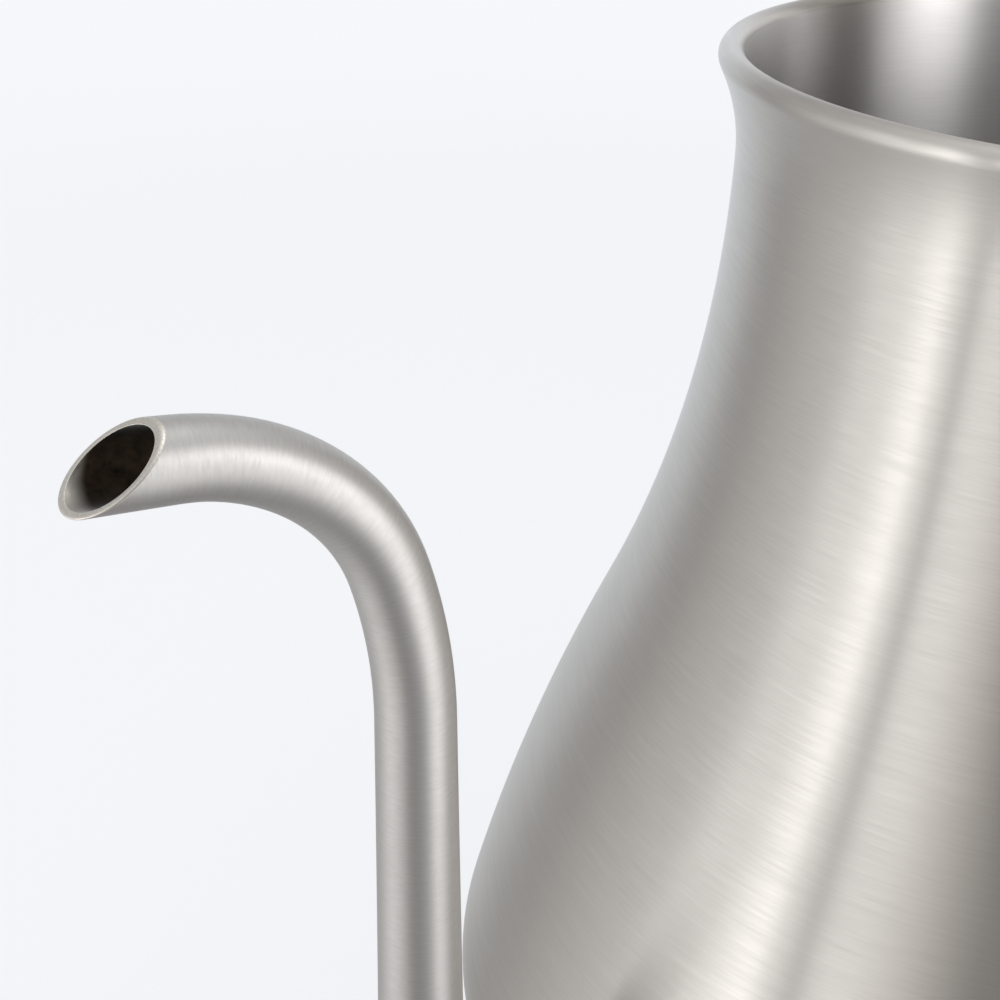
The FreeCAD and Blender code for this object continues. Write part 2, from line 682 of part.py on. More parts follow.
FIXED = (body_shell, bottom_pan, heat_spreader, base_cap, spout_root, spout_tube, upper_bracket,
         lower_bracket, handle_strap, grip_outer, grip_inner, grip_rivets, upper_rivets, lower_rivets,
         hinge_bracket, hinge_pin)
LID = (lid_cover, lid_skirt, lid_leaf, leaf_rivets, lid_knob, knob_insert, knob_washer, knob_screw)

os.makedirs("parts", exist_ok=True)
for make in FIXED:
    make().exportStep("parts/" + make.__name__ + ".step")
for make in LID:
    piece = make()
    piece.rotate(V(PIN_X, 0, PIN_Z), SIDE, OPEN_DEG)
    piece.exportStep("parts/" + make.__name__ + ".step")
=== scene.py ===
"""Gooseneck kettle with its lid standing open, in metres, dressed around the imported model."""
import json
import math

import bmesh
import bpy
from mathutils import Matrix, Vector
from mathutils.kdtree import KDTree


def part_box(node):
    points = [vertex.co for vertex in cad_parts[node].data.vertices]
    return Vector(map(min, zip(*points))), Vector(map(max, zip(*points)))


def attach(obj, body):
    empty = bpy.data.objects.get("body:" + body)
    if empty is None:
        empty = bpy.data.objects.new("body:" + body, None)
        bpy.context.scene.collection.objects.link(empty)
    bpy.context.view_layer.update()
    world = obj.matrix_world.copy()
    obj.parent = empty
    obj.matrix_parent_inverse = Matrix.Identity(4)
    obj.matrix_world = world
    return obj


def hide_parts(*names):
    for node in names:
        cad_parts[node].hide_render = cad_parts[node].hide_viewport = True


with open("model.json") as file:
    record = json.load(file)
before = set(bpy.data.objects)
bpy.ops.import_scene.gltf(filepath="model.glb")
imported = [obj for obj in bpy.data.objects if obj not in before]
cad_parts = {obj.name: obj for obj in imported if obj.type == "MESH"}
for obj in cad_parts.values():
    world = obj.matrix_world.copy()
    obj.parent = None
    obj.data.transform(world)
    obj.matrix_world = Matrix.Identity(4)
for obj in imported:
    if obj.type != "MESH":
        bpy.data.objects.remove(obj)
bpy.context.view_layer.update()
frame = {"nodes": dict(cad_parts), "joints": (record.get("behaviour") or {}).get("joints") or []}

MM = 0.001

# Vessel wall: one drawn stainless sheet, from the floor weld up to a flared and rounded lip.
# Outside it is brushed round its axis with a fine belt; inside it is left smoother.
# The wall is pierced low down where the spout is welded on.
wall_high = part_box("body_shell")[1]
RIM_Z = wall_high.z
BELLY_R = wall_high.y
FLOOR_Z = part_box("bottom_pan")[0].z
NECK_R = 43.0 * MM
NECK_Z = RIM_Z - 13.0 * MM
CORNER_R = 18.0 * MM
WALL = 0.8 * MM
LIP_R = 1.45 * MM
LIP_OUT = 2.95 * MM
SEAM_DEG = -30.0
NECK_ARC = 1.09 * (RIM_Z - FLOOR_Z)
FLANK_ARC = 2.06 * (RIM_Z - FLOOR_Z)
PORT_R = 5.6 * MM
PORT_Z = FLOOR_Z + 19.5 * MM
TURN_STEPS = 224
OUTER_STEPS, INNER_STEPS, LIP_STEPS = 14, 10, 20
neck_c = Vector((NECK_R + NECK_ARC, NECK_Z))
corner_c = Vector((BELLY_R - CORNER_R, FLOOR_Z + CORNER_R))
lip_c = Vector((NECK_R + LIP_OUT - LIP_R, RIM_Z - LIP_R))


def polar(centre, radius, deg):
    a = math.radians(deg)
    return Vector((centre[0] + radius * math.cos(a), centre[1] + radius * math.sin(a)))


def arc(centre, radius, start, end, steps):
    """Points of an arc in the profile plane, from one angle to the other, in degrees."""
    return [polar(centre, radius, start + (end - start) * i / steps) for i in range(steps + 1)]


def angle_to(a, b):
    return math.degrees(math.atan2(b[1] - a[1], b[0] - a[0]))


def flank_centre():
    """Centre of the flank arc, which touches the neck arc outside and the corner arc inside."""
    far, near = NECK_ARC + FLANK_ARC, FLANK_ARC - CORNER_R
    gap = neck_c - corner_c
    along = (gap.length_squared + near * near - far * far) / (2 * gap.length)
    off = math.sqrt(near * near - along * along)
    way = gap.normalized()
    return corner_c + along * way + off * Vector((-way.y, way.x))


flank_c = flank_centre()
FLANK_DEG = angle_to(flank_c, neck_c)
MEET_DEG = angle_to(flank_c, corner_c)


def wall_line(inset, steps):
    """Contour of the wall from the lip down to the floor weld, moved inwards by inset."""
    dx, dz = lip_c.x - (NECK_R - inset), lip_c.y - NECK_Z
    edge = -LIP_R if inset else LIP_R
    flare_r = (dx * dx + dz * dz - LIP_R * LIP_R) / (2 * (dx + edge))
    flare_deg = math.degrees(math.atan2(dz, dx - flare_r))
    flare = arc((NECK_R - inset + flare_r, NECK_Z), flare_r, flare_deg, 180, steps)
    neck = arc(neck_c, NECK_ARC + inset, 180, 180 + FLANK_DEG, 2 * steps)
    flank = arc(flank_c, FLANK_ARC - inset, FLANK_DEG, MEET_DEG, 3 * steps)
    corner = arc(corner_c, CORNER_R - inset, MEET_DEG, SEAM_DEG, steps)
    return flare + neck[1:] + flank[1:] + corner[1:], flare_deg


def start_piece(name):
    """A single vertex at the origin, as the start of a drawn line, left in edit mode."""
    bpy.ops.object.select_all(action="DESELECT")
    bpy.ops.mesh.primitive_plane_add(size=MM)
    piece = bpy.context.object
    piece.name = name
    bpy.ops.object.mode_set(mode="EDIT")
    bpy.ops.mesh.select_all(action="SELECT")
    bpy.ops.mesh.merge(type="CENTER")
    return piece


MERGE = 0.002 * MM     # points closer than this are one point


def finish_mesh(piece, smooth_deg=35):
    """Merges doubles, turns the faces outwards and smooths all but the sharper edges."""
    bpy.ops.mesh.select_all(action="SELECT")
    bpy.ops.mesh.remove_doubles(threshold=MERGE)
    bpy.ops.mesh.normals_make_consistent(inside=False)
    bpy.ops.object.mode_set(mode="OBJECT")
    bpy.ops.object.shade_smooth_by_angle(angle=math.radians(smooth_deg))
    return piece


def turned(name, points, closed, steps=TURN_STEPS):
    """A profile drawn point by point and spun round the kettle's axis."""
    piece = start_piece(name)
    bpy.ops.transform.translate(value=(points[0][0], 0, points[0][1]))
    for here, there in zip(points, points[1:]):
        step = Vector(there) - Vector(here)
        bpy.ops.mesh.extrude_vertices_move(TRANSFORM_OT_translate={"value": (step.x, 0, step.y)})
    bpy.ops.mesh.select_all(action="SELECT")
    if closed:
        bpy.ops.mesh.edge_face_add()
        bpy.ops.mesh.delete(type="ONLY_FACE")
        bpy.ops.mesh.select_all(action="SELECT")
    bpy.ops.mesh.spin(steps=steps, angle=math.tau, center=(0, 0, 0), axis=(0, 0, 1))
    return finish_mesh(piece)


outer, outer_deg = wall_line(0.0, OUTER_STEPS)
inner, inner_deg = wall_line(WALL, INNER_STEPS)
lip = arc(lip_c, LIP_R, inner_deg, outer_deg - 180, LIP_STEPS)
vessel = turned("vessel_wall", lip + outer[1:] + inner[::-1][:-1], True)


def apply_modifier(piece, kind, **settings):
    bpy.ops.object.select_all(action="DESELECT")
    bpy.context.view_layer.objects.active = piece
    piece.select_set(True)
    made = piece.modifiers.new(kind.lower(), kind)
    for key, value in settings.items():
        setattr(made, key, value)
    bpy.ops.object.modifier_apply(modifier=made.name)


HOLE_SIDES = 46


def bore(piece, radius, depth, middle, turn=(0, 0, 0)):
    """Cuts a round hole in a piece."""
    bpy.ops.object.select_all(action="DESELECT")
    bpy.ops.mesh.primitive_cylinder_add(vertices=HOLE_SIDES, radius=radius, depth=depth,
                                        location=middle, rotation=turn)
    cutter = bpy.context.object
    apply_modifier(piece, "BOOLEAN", operation="DIFFERENCE", solver="EXACT", object=cutter)
    bpy.data.objects.remove(cutter)


bore(vessel, PORT_R, BELLY_R, (-BELLY_R, 0, PORT_Z), (0, math.pi / 2, 0))


def new_material(name, metallic=0.0):
    material = bpy.data.materials.new(name)
    material.use_nodes = True
    shader = material.node_tree.nodes["Principled BSDF"]
    shader.inputs["Metallic"].default_value = metallic
    return material, material.node_tree, shader


def feed(tree, socket, value):
    if isinstance(value, bpy.types.NodeSocket):
        tree.links.new(value, socket)
    else:
        socket.default_value = value


def node(tree, kind, **settings):
    """A shader node. Settings are its properties, or its sockets with _ for a space."""
    made = tree.nodes.new("ShaderNode" + kind)
    for key, value in settings.items():
        if hasattr(made, key):
            setattr(made, key, value)
        else:
            feed(tree, made.inputs[key.replace("_", " ")], value)
    return made


def own_place(tree):
    """Coordinates in the piece's own frame."""
    return node(tree, "TexCoord").outputs["Object"]


def calc(tree, operation, *values):
    made = node(tree, "Math", operation=operation)
    for socket, value in zip(made.inputs, values):
        feed(tree, socket, value)
    return made.outputs[0]


def vector(tree, operation, *values):
    made = node(tree, "VectorMath", operation=operation)
    for socket, value in zip(made.inputs, values):
        feed(tree, socket, value)
    return made.outputs["Value" if operation in ("LENGTH", "DOT_PRODUCT") else "Vector"]


NOISE_LOW, NOISE_HIGH = 0.3, 0.7     # where most of a noise's values lie


def ramp(tree, amount, low, high):
    """Takes a noise to a range of values."""
    made = node(tree, "MapRange", Value=amount, From_Min=NOISE_LOW, From_Max=NOISE_HIGH,
                To_Min=low, To_Max=high)
    return made.outputs["Result"]


def mix(tree, share, first, second):
    """A colour between two others. The node's sockets for colours follow those for numbers and vectors."""
    made = node(tree, "Mix", data_type="RGBA")
    feed(tree, made.inputs["Factor"], share)
    feed(tree, made.inputs[6], first)
    feed(tree, made.inputs[7], second)
    return made.outputs[2]


def grained(tree, shader, grain, dark, light, rough_dark, rough_light):
    """Colour and roughness that follow a noise."""
    feed(tree, shader.inputs["Base Color"], mix(tree, ramp(tree, grain, 0.0, 1.0), dark, light))
    feed(tree, shader.inputs["Roughness"], ramp(tree, grain, rough_dark, rough_light))


def raised(tree, shader, height, relief, deep):
    """Relief that follows a noise."""
    bump = node(tree, "Bump", Strength=relief, Distance=deep, Height=height)
    tree.links.new(bump.outputs[0], shader.inputs["Normal"])


SCRATCH_DEEP = 0.01 * MM
FINE_ROUND, FINE_ALONG = 7, 5200.0       # how often a scratch changes, round the piece and along each metre
BROAD_ROUND, BROAD_ALONG = 3, 260.0
FINE_SHARE = 0.85
ACROSS = 0.25          # quarter turn: the gloss spreads across the scratches


def scratched(tree, shader, way, ring, run, dark, light, rough, spread, relief, gloss_spread):
    """Belt scratches along one way: long in that direction and close together across it."""
    fine = node(tree, "TexNoise", noise_dimensions="4D", Detail=4.0, Roughness=0.65, Scale=1.0,
                Vector=vector(tree, "MULTIPLY", ring, [FINE_ROUND] * 3),
                W=calc(tree, "MULTIPLY", run, FINE_ALONG)).outputs[0]
    broad = node(tree, "TexNoise", noise_dimensions="4D", Detail=2.0, Roughness=0.5, Scale=1.0,
                 Vector=vector(tree, "MULTIPLY", ring, [BROAD_ROUND] * 3),
                 W=calc(tree, "MULTIPLY", run, BROAD_ALONG)).outputs[0]
    mixed = calc(tree, "ADD", calc(tree, "MULTIPLY", fine, FINE_SHARE),
                 calc(tree, "MULTIPLY", broad, 1 - FINE_SHARE))
    grained(tree, shader, mixed, dark, light, rough + spread, rough - spread)
    raised(tree, shader, fine, relief, SCRATCH_DEEP)
    world_way = node(tree, "VectorTransform", vector_type="VECTOR", convert_from="OBJECT", convert_to="WORLD")
    tree.links.new(way, world_way.inputs[0])
    tree.links.new(world_way.outputs[0], shader.inputs["Tangent"])
    shader.inputs["Anisotropic"].default_value = gloss_spread
    shader.inputs["Anisotropic Rotation"].default_value = ACROSS


STEEL_DARK = (0.590, 0.564, 0.532, 1)
STEEL_LIGHT = (0.650, 0.622, 0.588, 1)
INWARD = 0.6           # scratches on flat faces lie this much as close as on upright ones


def turned_steel(name, rough=0.32, spread=0.03, relief=0.08, gloss_spread=0.98, tilt=0.0, pivot=(0, 0, 0),
                 dark=STEEL_DARK, light=STEEL_LIGHT):
    """Steel brushed round the kettle's axis, or round the lid's axis when a tilt about a pivot is given."""
    material, tree, shader = new_material(name, metallic=1.0)
    back = Matrix.Rotation(-tilt, 4, "Y")
    shift = Vector(pivot) - back @ Vector(pivot)
    place = node(tree, "Mapping", Vector=own_place(tree), Location=shift, Rotation=(0, -tilt, 0)).outputs[0]
    flat = vector(tree, "MULTIPLY", place, (1, 1, 0))
    ring = vector(tree, "NORMALIZE", flat)
    height = node(tree, "SeparateXYZ", Vector=place).outputs["Z"]
    run = calc(tree, "ADD", height, calc(tree, "MULTIPLY", vector(tree, "LENGTH", flat), INWARD))
    round_way = vector(tree, "CROSS_PRODUCT", (0, 0, 1), ring)
    way = node(tree, "VectorRotate", rotation_type="Y_AXIS", Vector=round_way, Angle=tilt).outputs[0]
    scratched(tree, shader, way, ring, run, dark, light, rough, spread, relief, gloss_spread)
    return material


def fit_out(piece, body, node_name, slot, *finishes):
    """Gives a piece its finishes, hangs it on the body it rides on and hides the imported piece it takes the
    place of; the slot, for what it is made of, is not used.
    """
    for finish in finishes:
        piece.data.materials.append(finish)
    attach(piece, body)
    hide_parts(node_name)


outside_steel = turned_steel("brushed_steel_outside")
inside_steel = turned_steel("smooth_steel_inside", rough=0.36, spread=0.02, relief=0.02, gloss_spread=0.97,
                            dark=(0.655, 0.640, 0.632, 1), light=(0.715, 0.700, 0.692, 1))
fit_out(vessel, "kettle", "body_shell", "brushed_steel", outside_steel, inside_steel)
for face in vessel.data.polygons:
    outward = face.normal.x * face.center.x + face.normal.y * face.center.y
    if outward < 0 and face.center.z < lip_c.y:
        face.material_index = 1

# Floor: a pressed stainless pan, butt-welded to the wall on the rounded corner and ground flush.
# It is brushed outside and smooth inside, like the wall.
pan_out = arc(corner_c, CORNER_R, -90, SEAM_DEG, INNER_STEPS)
pan_in = arc(corner_c, CORNER_R - WALL, SEAM_DEG, -90, INNER_STEPS)
pan_line = [Vector((0, FLOOR_Z))] + pan_out + pan_in + [Vector((0, FLOOR_Z + WALL))]
pan = turned("floor_pan", pan_line, False)
fit_out(pan, "kettle", "bottom_pan", "brushed_steel", outside_steel, inside_steel)
for face in pan.data.polygons:
    face.material_index = int(face.normal.z > 0)

# Base: an aluminium disc spreads the heat under the floor, held in a spun steel cap.
# The cap is what the kettle stands on, so its lower edge is rounded and its face shows turned rings.
CAP_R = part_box("base_cap")[1].x
CAP_ROUND = 1.5 * MM
CAP_EDGE = 0.3 * WALL
ROUND_STEPS = 6


def rounded(corners, closed=False):
    """A line through corners given as (x, y, radius), each turned by an arc of its radius."""
    line = []
    for i, (x, y, radius) in enumerate(corners):
        here = Vector((x, y))
        if not radius or (not closed and i in (0, len(corners) - 1)):
            line.append(here)
            continue
        back = (Vector(corners[i - 1][:2]) - here).normalized()
        on = (Vector(corners[(i + 1) % len(corners)][:2]) - here).normalized()
        half = back.angle(on) / 2
        centre = here + (back + on).normalized() * radius / math.sin(half)
        start = angle_to(centre, here + back * radius / math.tan(half))
        end = angle_to(centre, here + on * radius / math.tan(half))
        turn = (end - start + 180) % 360 - 180
        line += arc(centre, radius, start, start + turn, ROUND_STEPS)
    return line


cap_in = CAP_R - WALL
cap_line = rounded([(0, 0, 0), (CAP_R, 0, CAP_ROUND), (CAP_R, FLOOR_Z, CAP_EDGE),
                    (cap_in, FLOOR_Z, CAP_EDGE), (cap_in, WALL, CAP_ROUND - WALL), (0, WALL, 0)])
cap = turned("base_cap_spun", cap_line, False)
fit_out(cap, "kettle", "base_cap", "base_steel", turned_steel("turned_base_steel", rough=0.34, relief=0.2))


MARK_DEEP = 0.02 * MM


def worked_metal(name, dark, light, rough, spread, marks, relief):
    """Bare metal with the marks of its making: marks gives how many lie in a metre along each axis."""
    material, tree, shader = new_material(name, metallic=1.0)
    place = node(tree, "Mapping", Vector=own_place(tree), Scale=marks).outputs[0]
    grain = node(tree, "TexNoise", Vector=place, Scale=1.0, Detail=4.0, Roughness=0.6).outputs[0]
    grained(tree, shader, grain, dark, light, rough + spread, rough - spread)
    raised(tree, shader, grain, relief, MARK_DEEP)
    return material


disc_metal = worked_metal("cast_aluminium", dark=(0.66, 0.66, 0.67, 1), light=(0.80, 0.80, 0.81, 1),
                          rough=0.5, spread=0.1, marks=(900, 900, 900), relief=0.4)
frame["nodes"]["heat_spreader"].material_slots[0].material = disc_metal

# Spout: a gooseneck tube of thin stainless, drawn to a taper and bent in a long and then a tight curve.
# Its tip is opened a little and cut on a slant; its lower end is brazed into the root.
# It is brushed round the tube, so the scratches lie across its length.
RISER_R = BELLY_R + 15.2 * MM
ELBOW_DEG = 88.6
ELBOW_R = 15.9 * MM
FOOT_Z = PORT_Z + ELBOW_R * (1 - math.cos(math.radians(ELBOW_DEG)))
BEND_Z = RIM_Z - 59.1 * MM
EASY_BEND = (63.0 * MM, math.radians(16.4))
TIGHT_BEND = (23.7 * MM, math.radians(67.9))
TIP_LEN = 5.6 * MM
FOOT_R = 5.0 * MM
TIP_R = 3.85 * MM
TUBE_TAPER = 1.6       # above 1 the tube narrows more at its foot than at its tip
TIP_FLARE = 0.2 * MM
FLARE_FROM = 0.92      # share of the tube's length
TUBE_WALL = 0.6 * MM
CUT_DEG = 41.3
CUT_SKEW_DEG = 15.0
TUBE_SIDES = 80
TUBE_STEP = 1.0 * MM
riser_len = (BEND_Z - FOOT_Z) / math.sin(math.radians(ELBOW_DEG))
tube_len = riser_len + EASY_BEND[0] * EASY_BEND[1] + TIGHT_BEND[0] * TIGHT_BEND[1] + TIP_LEN


def spout_at(s):
    """Distance from the kettle's axis, height and slope on the gooseneck, s along it from its foot."""
    slope = math.radians(ELBOW_DEG)
    r = RISER_R + min(s, riser_len) * math.cos(slope)
    z = FOOT_Z + min(s, riser_len) * math.sin(slope)
    start = riser_len
    for radius, turn in (EASY_BEND, TIGHT_BEND):
        after = slope - min(max(s - start, 0.0) / radius, turn)
        r += radius * (math.sin(slope) - math.sin(after))
        z += radius * (math.cos(after) - math.cos(slope))
        slope = after
        start += radius * turn
    rest = max(s - start, 0.0)
    return r + rest * math.cos(slope), z + rest * math.sin(slope), slope


def spout_frame(r, z, slope, radius):
    """Places a unit ring on the spout: its own Z looks along the spout."""
    turn = Matrix.Rotation(slope - math.pi / 2, 4, "Y")
    return Matrix.Translation((-r, 0, z)) @ turn @ Matrix.Diagonal((radius, radius, radius, 1))


def tube_radius(s):
    taper = max(1 - s / tube_len, 0.0) ** TUBE_TAPER
    opening = max(s / tube_len - FLARE_FROM, 0.0) / (1 - FLARE_FROM)
    return TIP_R + (FOOT_R - TIP_R) * taper + TIP_FLARE * opening


LOFT_SMOOTH_DEG = 40


def loft(name, rings, capped):
    """A closed ring, drawn once and then extruded from ring to ring; left in edit mode."""
    piece = start_piece(name)
    bpy.ops.transform.translate(value=rings[0][0])
    for here, there in zip(rings[0], rings[0][1:]):
        bpy.ops.mesh.extrude_vertices_move(TRANSFORM_OT_translate={"value": there - here})
    bpy.ops.mesh.select_all(action="SELECT")
    bpy.ops.mesh.edge_face_add()
    if not capped:
        bpy.ops.mesh.delete(type="ONLY_FACE")
        bpy.ops.mesh.select_all(action="SELECT")
    mesh = bmesh.from_edit_mesh(piece.data)
    for label in ("ring", "ring_place"):
        mesh.verts.layers.int.new(label)
    ring_place = mesh.verts.layers.int["ring_place"]
    for vertex in mesh.verts:
        gaps = [(vertex.co - spot).length_squared for spot in rings[0]]
        vertex[ring_place] = gaps.index(min(gaps))
    for i in range(1, len(rings)):
        bpy.ops.mesh.extrude_region()
        mesh = bmesh.from_edit_mesh(piece.data)
        ring_number, ring_place = (mesh.verts.layers.int[label] for label in ("ring", "ring_place"))
        for vertex in mesh.verts:
            if vertex.select:
                vertex.co = rings[i][vertex[ring_place]]
                vertex[ring_number] = i
        bmesh.update_edit_mesh(piece.data)
    mesh.verts.layers.int.remove(ring_place)
    return piece


def mark_run(piece, frames, runs):
    """Writes on each vertex how far along a tube it is, its side of the tube and the way round it."""
    tree = KDTree(len(frames))
    for i, place in enumerate(frames):
        tree.insert(place.translation, i)
    tree.balance()
    mesh = piece.data
    kinds = {"tube_run": "FLOAT", "tube_side": "FLOAT_VECTOR", "tube_way": "FLOAT_VECTOR"}
    for label, kind in kinds.items():
        mesh.attributes.new(label, kind, "POINT")
    run, side, way = (mesh.attributes[label] for label in kinds)
    for i, vertex in enumerate(mesh.vertices):
        middle, nearest, _ = tree.find(vertex.co)
        axis = frames[nearest].col[2].to_3d().normalized()
        off = vertex.co - middle
        along = off.dot(axis)
        outward = (off - along * axis).normalized()
        run.data[i].value = runs[nearest] + along
        side.data[i].vector = outward
        way.data[i].vector = axis.cross(outward)


tip_r, tip_z, tip_slope = spout_at(tube_len)
tip = Vector((-tip_r, 0, tip_z))
tip_axis = Vector((-math.cos(tip_slope), 0, math.sin(tip_slope)))
cut_down = Vector((-math.cos(math.radians(CUT_DEG)), 0, -math.sin(math.radians(CUT_DEG))))
skew = math.radians(CUT_SKEW_DEG)
cut_across = Vector((0, -math.cos(skew), 0)) - tip_axis * math.sin(skew)
cut_normal = cut_down.cross(cut_across).normalized()


def tube_spot(s, place, inset):
    """A point of the tube's outer face, or inset from it, s along it and at a place round it."""
    ring = spout_frame(*spout_at(s), tube_radius(s) - inset)
    return ring @ Vector((math.cos(place), math.sin(place), 0))


CUT_REACH = 4 * TIP_R      # the cut is looked for this far either side of the tip
HALVINGS = 30


def cut_run(place, inset):
    """How far along the tube a line at that place meets the slanted cut, found by halving."""
    low, high = tube_len - CUT_REACH, tube_len + CUT_REACH
    for _ in range(HALVINGS):
        middle = (low + high) / 2
        if (tube_spot(middle, place, inset) - tip).dot(cut_normal) < 0:
            low = middle
        else:
            high = middle
    return low


RIM_IN, RIM_BACK = 0.24 * MM, 0.30 * MM     # the cut's outer edge is filed round, this far in and back
RIM_STEPS = 7
BURR = 0.04 * MM
TIP_STEPS = 14
PAST_TIP = 2.2 * TIP_R     # the lower lip of the cut lies within this of the tip
tube_places = [math.tau * i / TUBE_SIDES for i in range(TUBE_SIDES)]
tube_runs = [i * TUBE_STEP for i in range(int((tube_len + PAST_TIP) / TUBE_STEP) + 1)]
tube_frames = [spout_frame(*spout_at(s), tube_radius(s)) for s in tube_runs]


def layer_rings(inset, back):
    """Rings from the tube's foot to its cut, inset from the outer face and ending back from the cut."""
    ends = [cut_run(place, inset) - back for place in tube_places]
    tip_from = min(ends) - TUBE_STEP
    rings = [[tube_spot(s, place, inset) for place in tube_places] for s in tube_runs if s < tip_from]
    for i in range(TIP_STEPS + 1):
        share = i / TIP_STEPS
        rings.append([tube_spot(tip_from + share * (end - tip_from), place, inset)
                      for place, end in zip(tube_places, ends)])
    return rings


tube_rings = layer_rings(0.0, RIM_BACK)
rim_from = len(tube_rings) - 1
for i in range(1, RIM_STEPS + 1):
    turn = math.pi / 2 * i / RIM_STEPS
    tube_rings.append(layer_rings(RIM_IN * (1 - math.cos(turn)), RIM_BACK * (1 - math.sin(turn)))[-1])
tube_rings.append(layer_rings(TUBE_WALL - BURR, 0.0)[-1])
rim_to = len(tube_rings)
tube_rings += layer_rings(TUBE_WALL, BURR)[::-1]
tube = finish_mesh(loft("spout_tube_brushed", tube_rings + tube_rings[:1], False), LOFT_SMOOTH_DEG)
mark_run(tube, tube_frames, tube_runs)

PIPE_DARK = (0.555, 0.541, 0.527, 1)
PIPE_LIGHT = (0.625, 0.610, 0.594, 1)
PIPE_WRAP = 0.4        # how often a scratch changes round the thin tube, as a share of that on the wall


def tube_steel(name, rough=0.52, spread=0.05, relief=0.10, gloss_spread=0.45):
    """Steel brushed round a tube, read from what is written on the tube's vertices."""
    material, tree, shader = new_material(name, metallic=1.0)
    run = node(tree, "Attribute", attribute_name="tube_run").outputs["Fac"]
    side = node(tree, "Attribute", attribute_name="tube_side").outputs["Vector"]
    way = node(tree, "Attribute", attribute_name="tube_way").outputs["Vector"]
    scratched(tree, shader, way, vector(tree, "MULTIPLY", side, [PIPE_WRAP] * 3), run,
              PIPE_DARK, PIPE_LIGHT, rough, spread, relief, gloss_spread)
    return material


def fade(tree, amount, start, end, low=0.0, high=1.0):
    """Goes softly from low to high while the amount goes from start to end."""
    made = node(tree, "MapRange", interpolation_type="SMOOTHSTEP", Value=amount, From_Min=start, From_Max=end,
                To_Min=low, To_Max=high)
    return made.outputs["Result"]


# Bore colours: the near-black and the dark brown are painted shade inside the tube, with the brown mottling a
# real water stain. The clean colour is the bare metal at the cut.
BORE_SHADE_BLACK = (0.004, 0.0036, 0.003, 1)
BORE_SHADED_STAIN = (0.022, 0.015, 0.010, 1)
BORE_CLEAN = (0.40, 0.375, 0.345, 1)
CLEAN_TO, SHADE_AND_STAIN_FROM = -2.3 * MM, 0.1 * MM     # depth below the cut, counted less towards the lower lip
LOWER_LIP = 0.45


def bore_shade_and_stain(name):
    """Inside of the spout: its own bright metal at the cut, reaching further in at the lower lip, then
    painted shade deeper in, mottled with a real brown stain where water has dried.
    """
    material, tree, shader = new_material(name, metallic=1.0)
    place = own_place(tree)
    from_tip = vector(tree, "SUBTRACT", place, tip)
    depth = vector(tree, "DOT_PRODUCT", from_tip, -cut_normal - LOWER_LIP * cut_down)
    # Painted shade: the colour goes from bare metal to near-black with depth below the cut, starting deeper
    # towards the lower lip.
    shade_depth_mask = fade(tree, depth, CLEAN_TO, SHADE_AND_STAIN_FROM)
    stain = node(tree, "TexNoise", Vector=place, Scale=900.0, Detail=5.0, Roughness=0.65).outputs[0]
    shade_and_stain = mix(tree, ramp(tree, stain, 0.0, 1.0), BORE_SHADE_BLACK, BORE_SHADED_STAIN)
    feed(tree, shader.inputs["Base Color"], mix(tree, shade_depth_mask, BORE_CLEAN, shade_and_stain))
    feed(tree, shader.inputs["Roughness"], ramp(tree, stain, 0.38, 0.58))
    return material


pipe_steel = tube_steel("brushed_steel_tube")
bore_shaded_steel = bore_shade_and_stain("bore_steel_painted_shade_and_stain")
cut_steel = worked_metal("filed_cut_steel", dark=(0.62, 0.58, 0.52, 1), light=(0.80, 0.77, 0.73, 1),
                         rough=0.40, spread=0.08, marks=(5000, 5000, 5000), relief=0.5)
fit_out(tube, "kettle", "spout_tube", "brushed_steel", pipe_steel, bore_shaded_steel, cut_steel)
ring_numbers = tube.data.attributes["ring"].data
for face in tube.data.polygons:
    ring = max(ring_numbers[corner].value for corner in face.vertices)
    if ring > rim_from:
        face.material_index = 2 if ring <= rim_to else 1

# Spout root: a drawn stainless elbow, wide where it is welded round the port, narrow where it holds the tube.
# The weld is dressed to a smooth fillet, and the sleeve's edge is rounded down to the tube.
FIT = 0.05 * MM        # clearance between pieces that slide together
ROOT_R = 8.0 * MM
ROOT_TAPER = 1.5
ROOT_INSIDE = 3.0 * MM     # the elbow is drawn from this far inside the wall and then trimmed
ROOT_EDGE = 0.25 * MM
ROOT_SHARP_DEG = 60
SLEEVE = 5.0 * MM
SLEEVE_R = FOOT_R + FIT + TUBE_WALL
FILLET = 1.8 * MM
SINK = 0.3 * MM        # how far the weld bites into the wall
elbow = math.radians(ELBOW_DEG)
root_start = BELLY_R - ROOT_R
root_level = RISER_R - ELBOW_R * math.sin(elbow) - root_start
root_span = root_level + ELBOW_R * elbow


def root_at(s):
    """Distance from the axis, height and slope on the root, s along it from inside the belly."""
    turn = min(max(s - root_level, 0.0) / ELBOW_R, elbow)
    rest = max(s - root_span, 0.0)
    r = root_start + min(s, root_level) + ELBOW_R * math.sin(turn) + rest * math.cos(turn)
    return r, PORT_Z + ELBOW_R * (1 - math.cos(turn)) + rest * math.sin(turn), turn


def root_radius(s):
    neck = SLEEVE_R + (ROOT_R - SLEEVE_R) * max(1 - s / root_span, 0.0) ** ROOT_TAPER
    near = max(FILLET - max(root_at(s)[0] - BELLY_R, 0.0), 0.0)
    return neck + FILLET - math.sqrt(FILLET * FILLET - near * near)


def round_ring(place):
    """A circle of radius 1 in a frame's own XY plane."""
    return [place @ Vector((math.cos(a), math.sin(a), 0)) for a in tube_places]


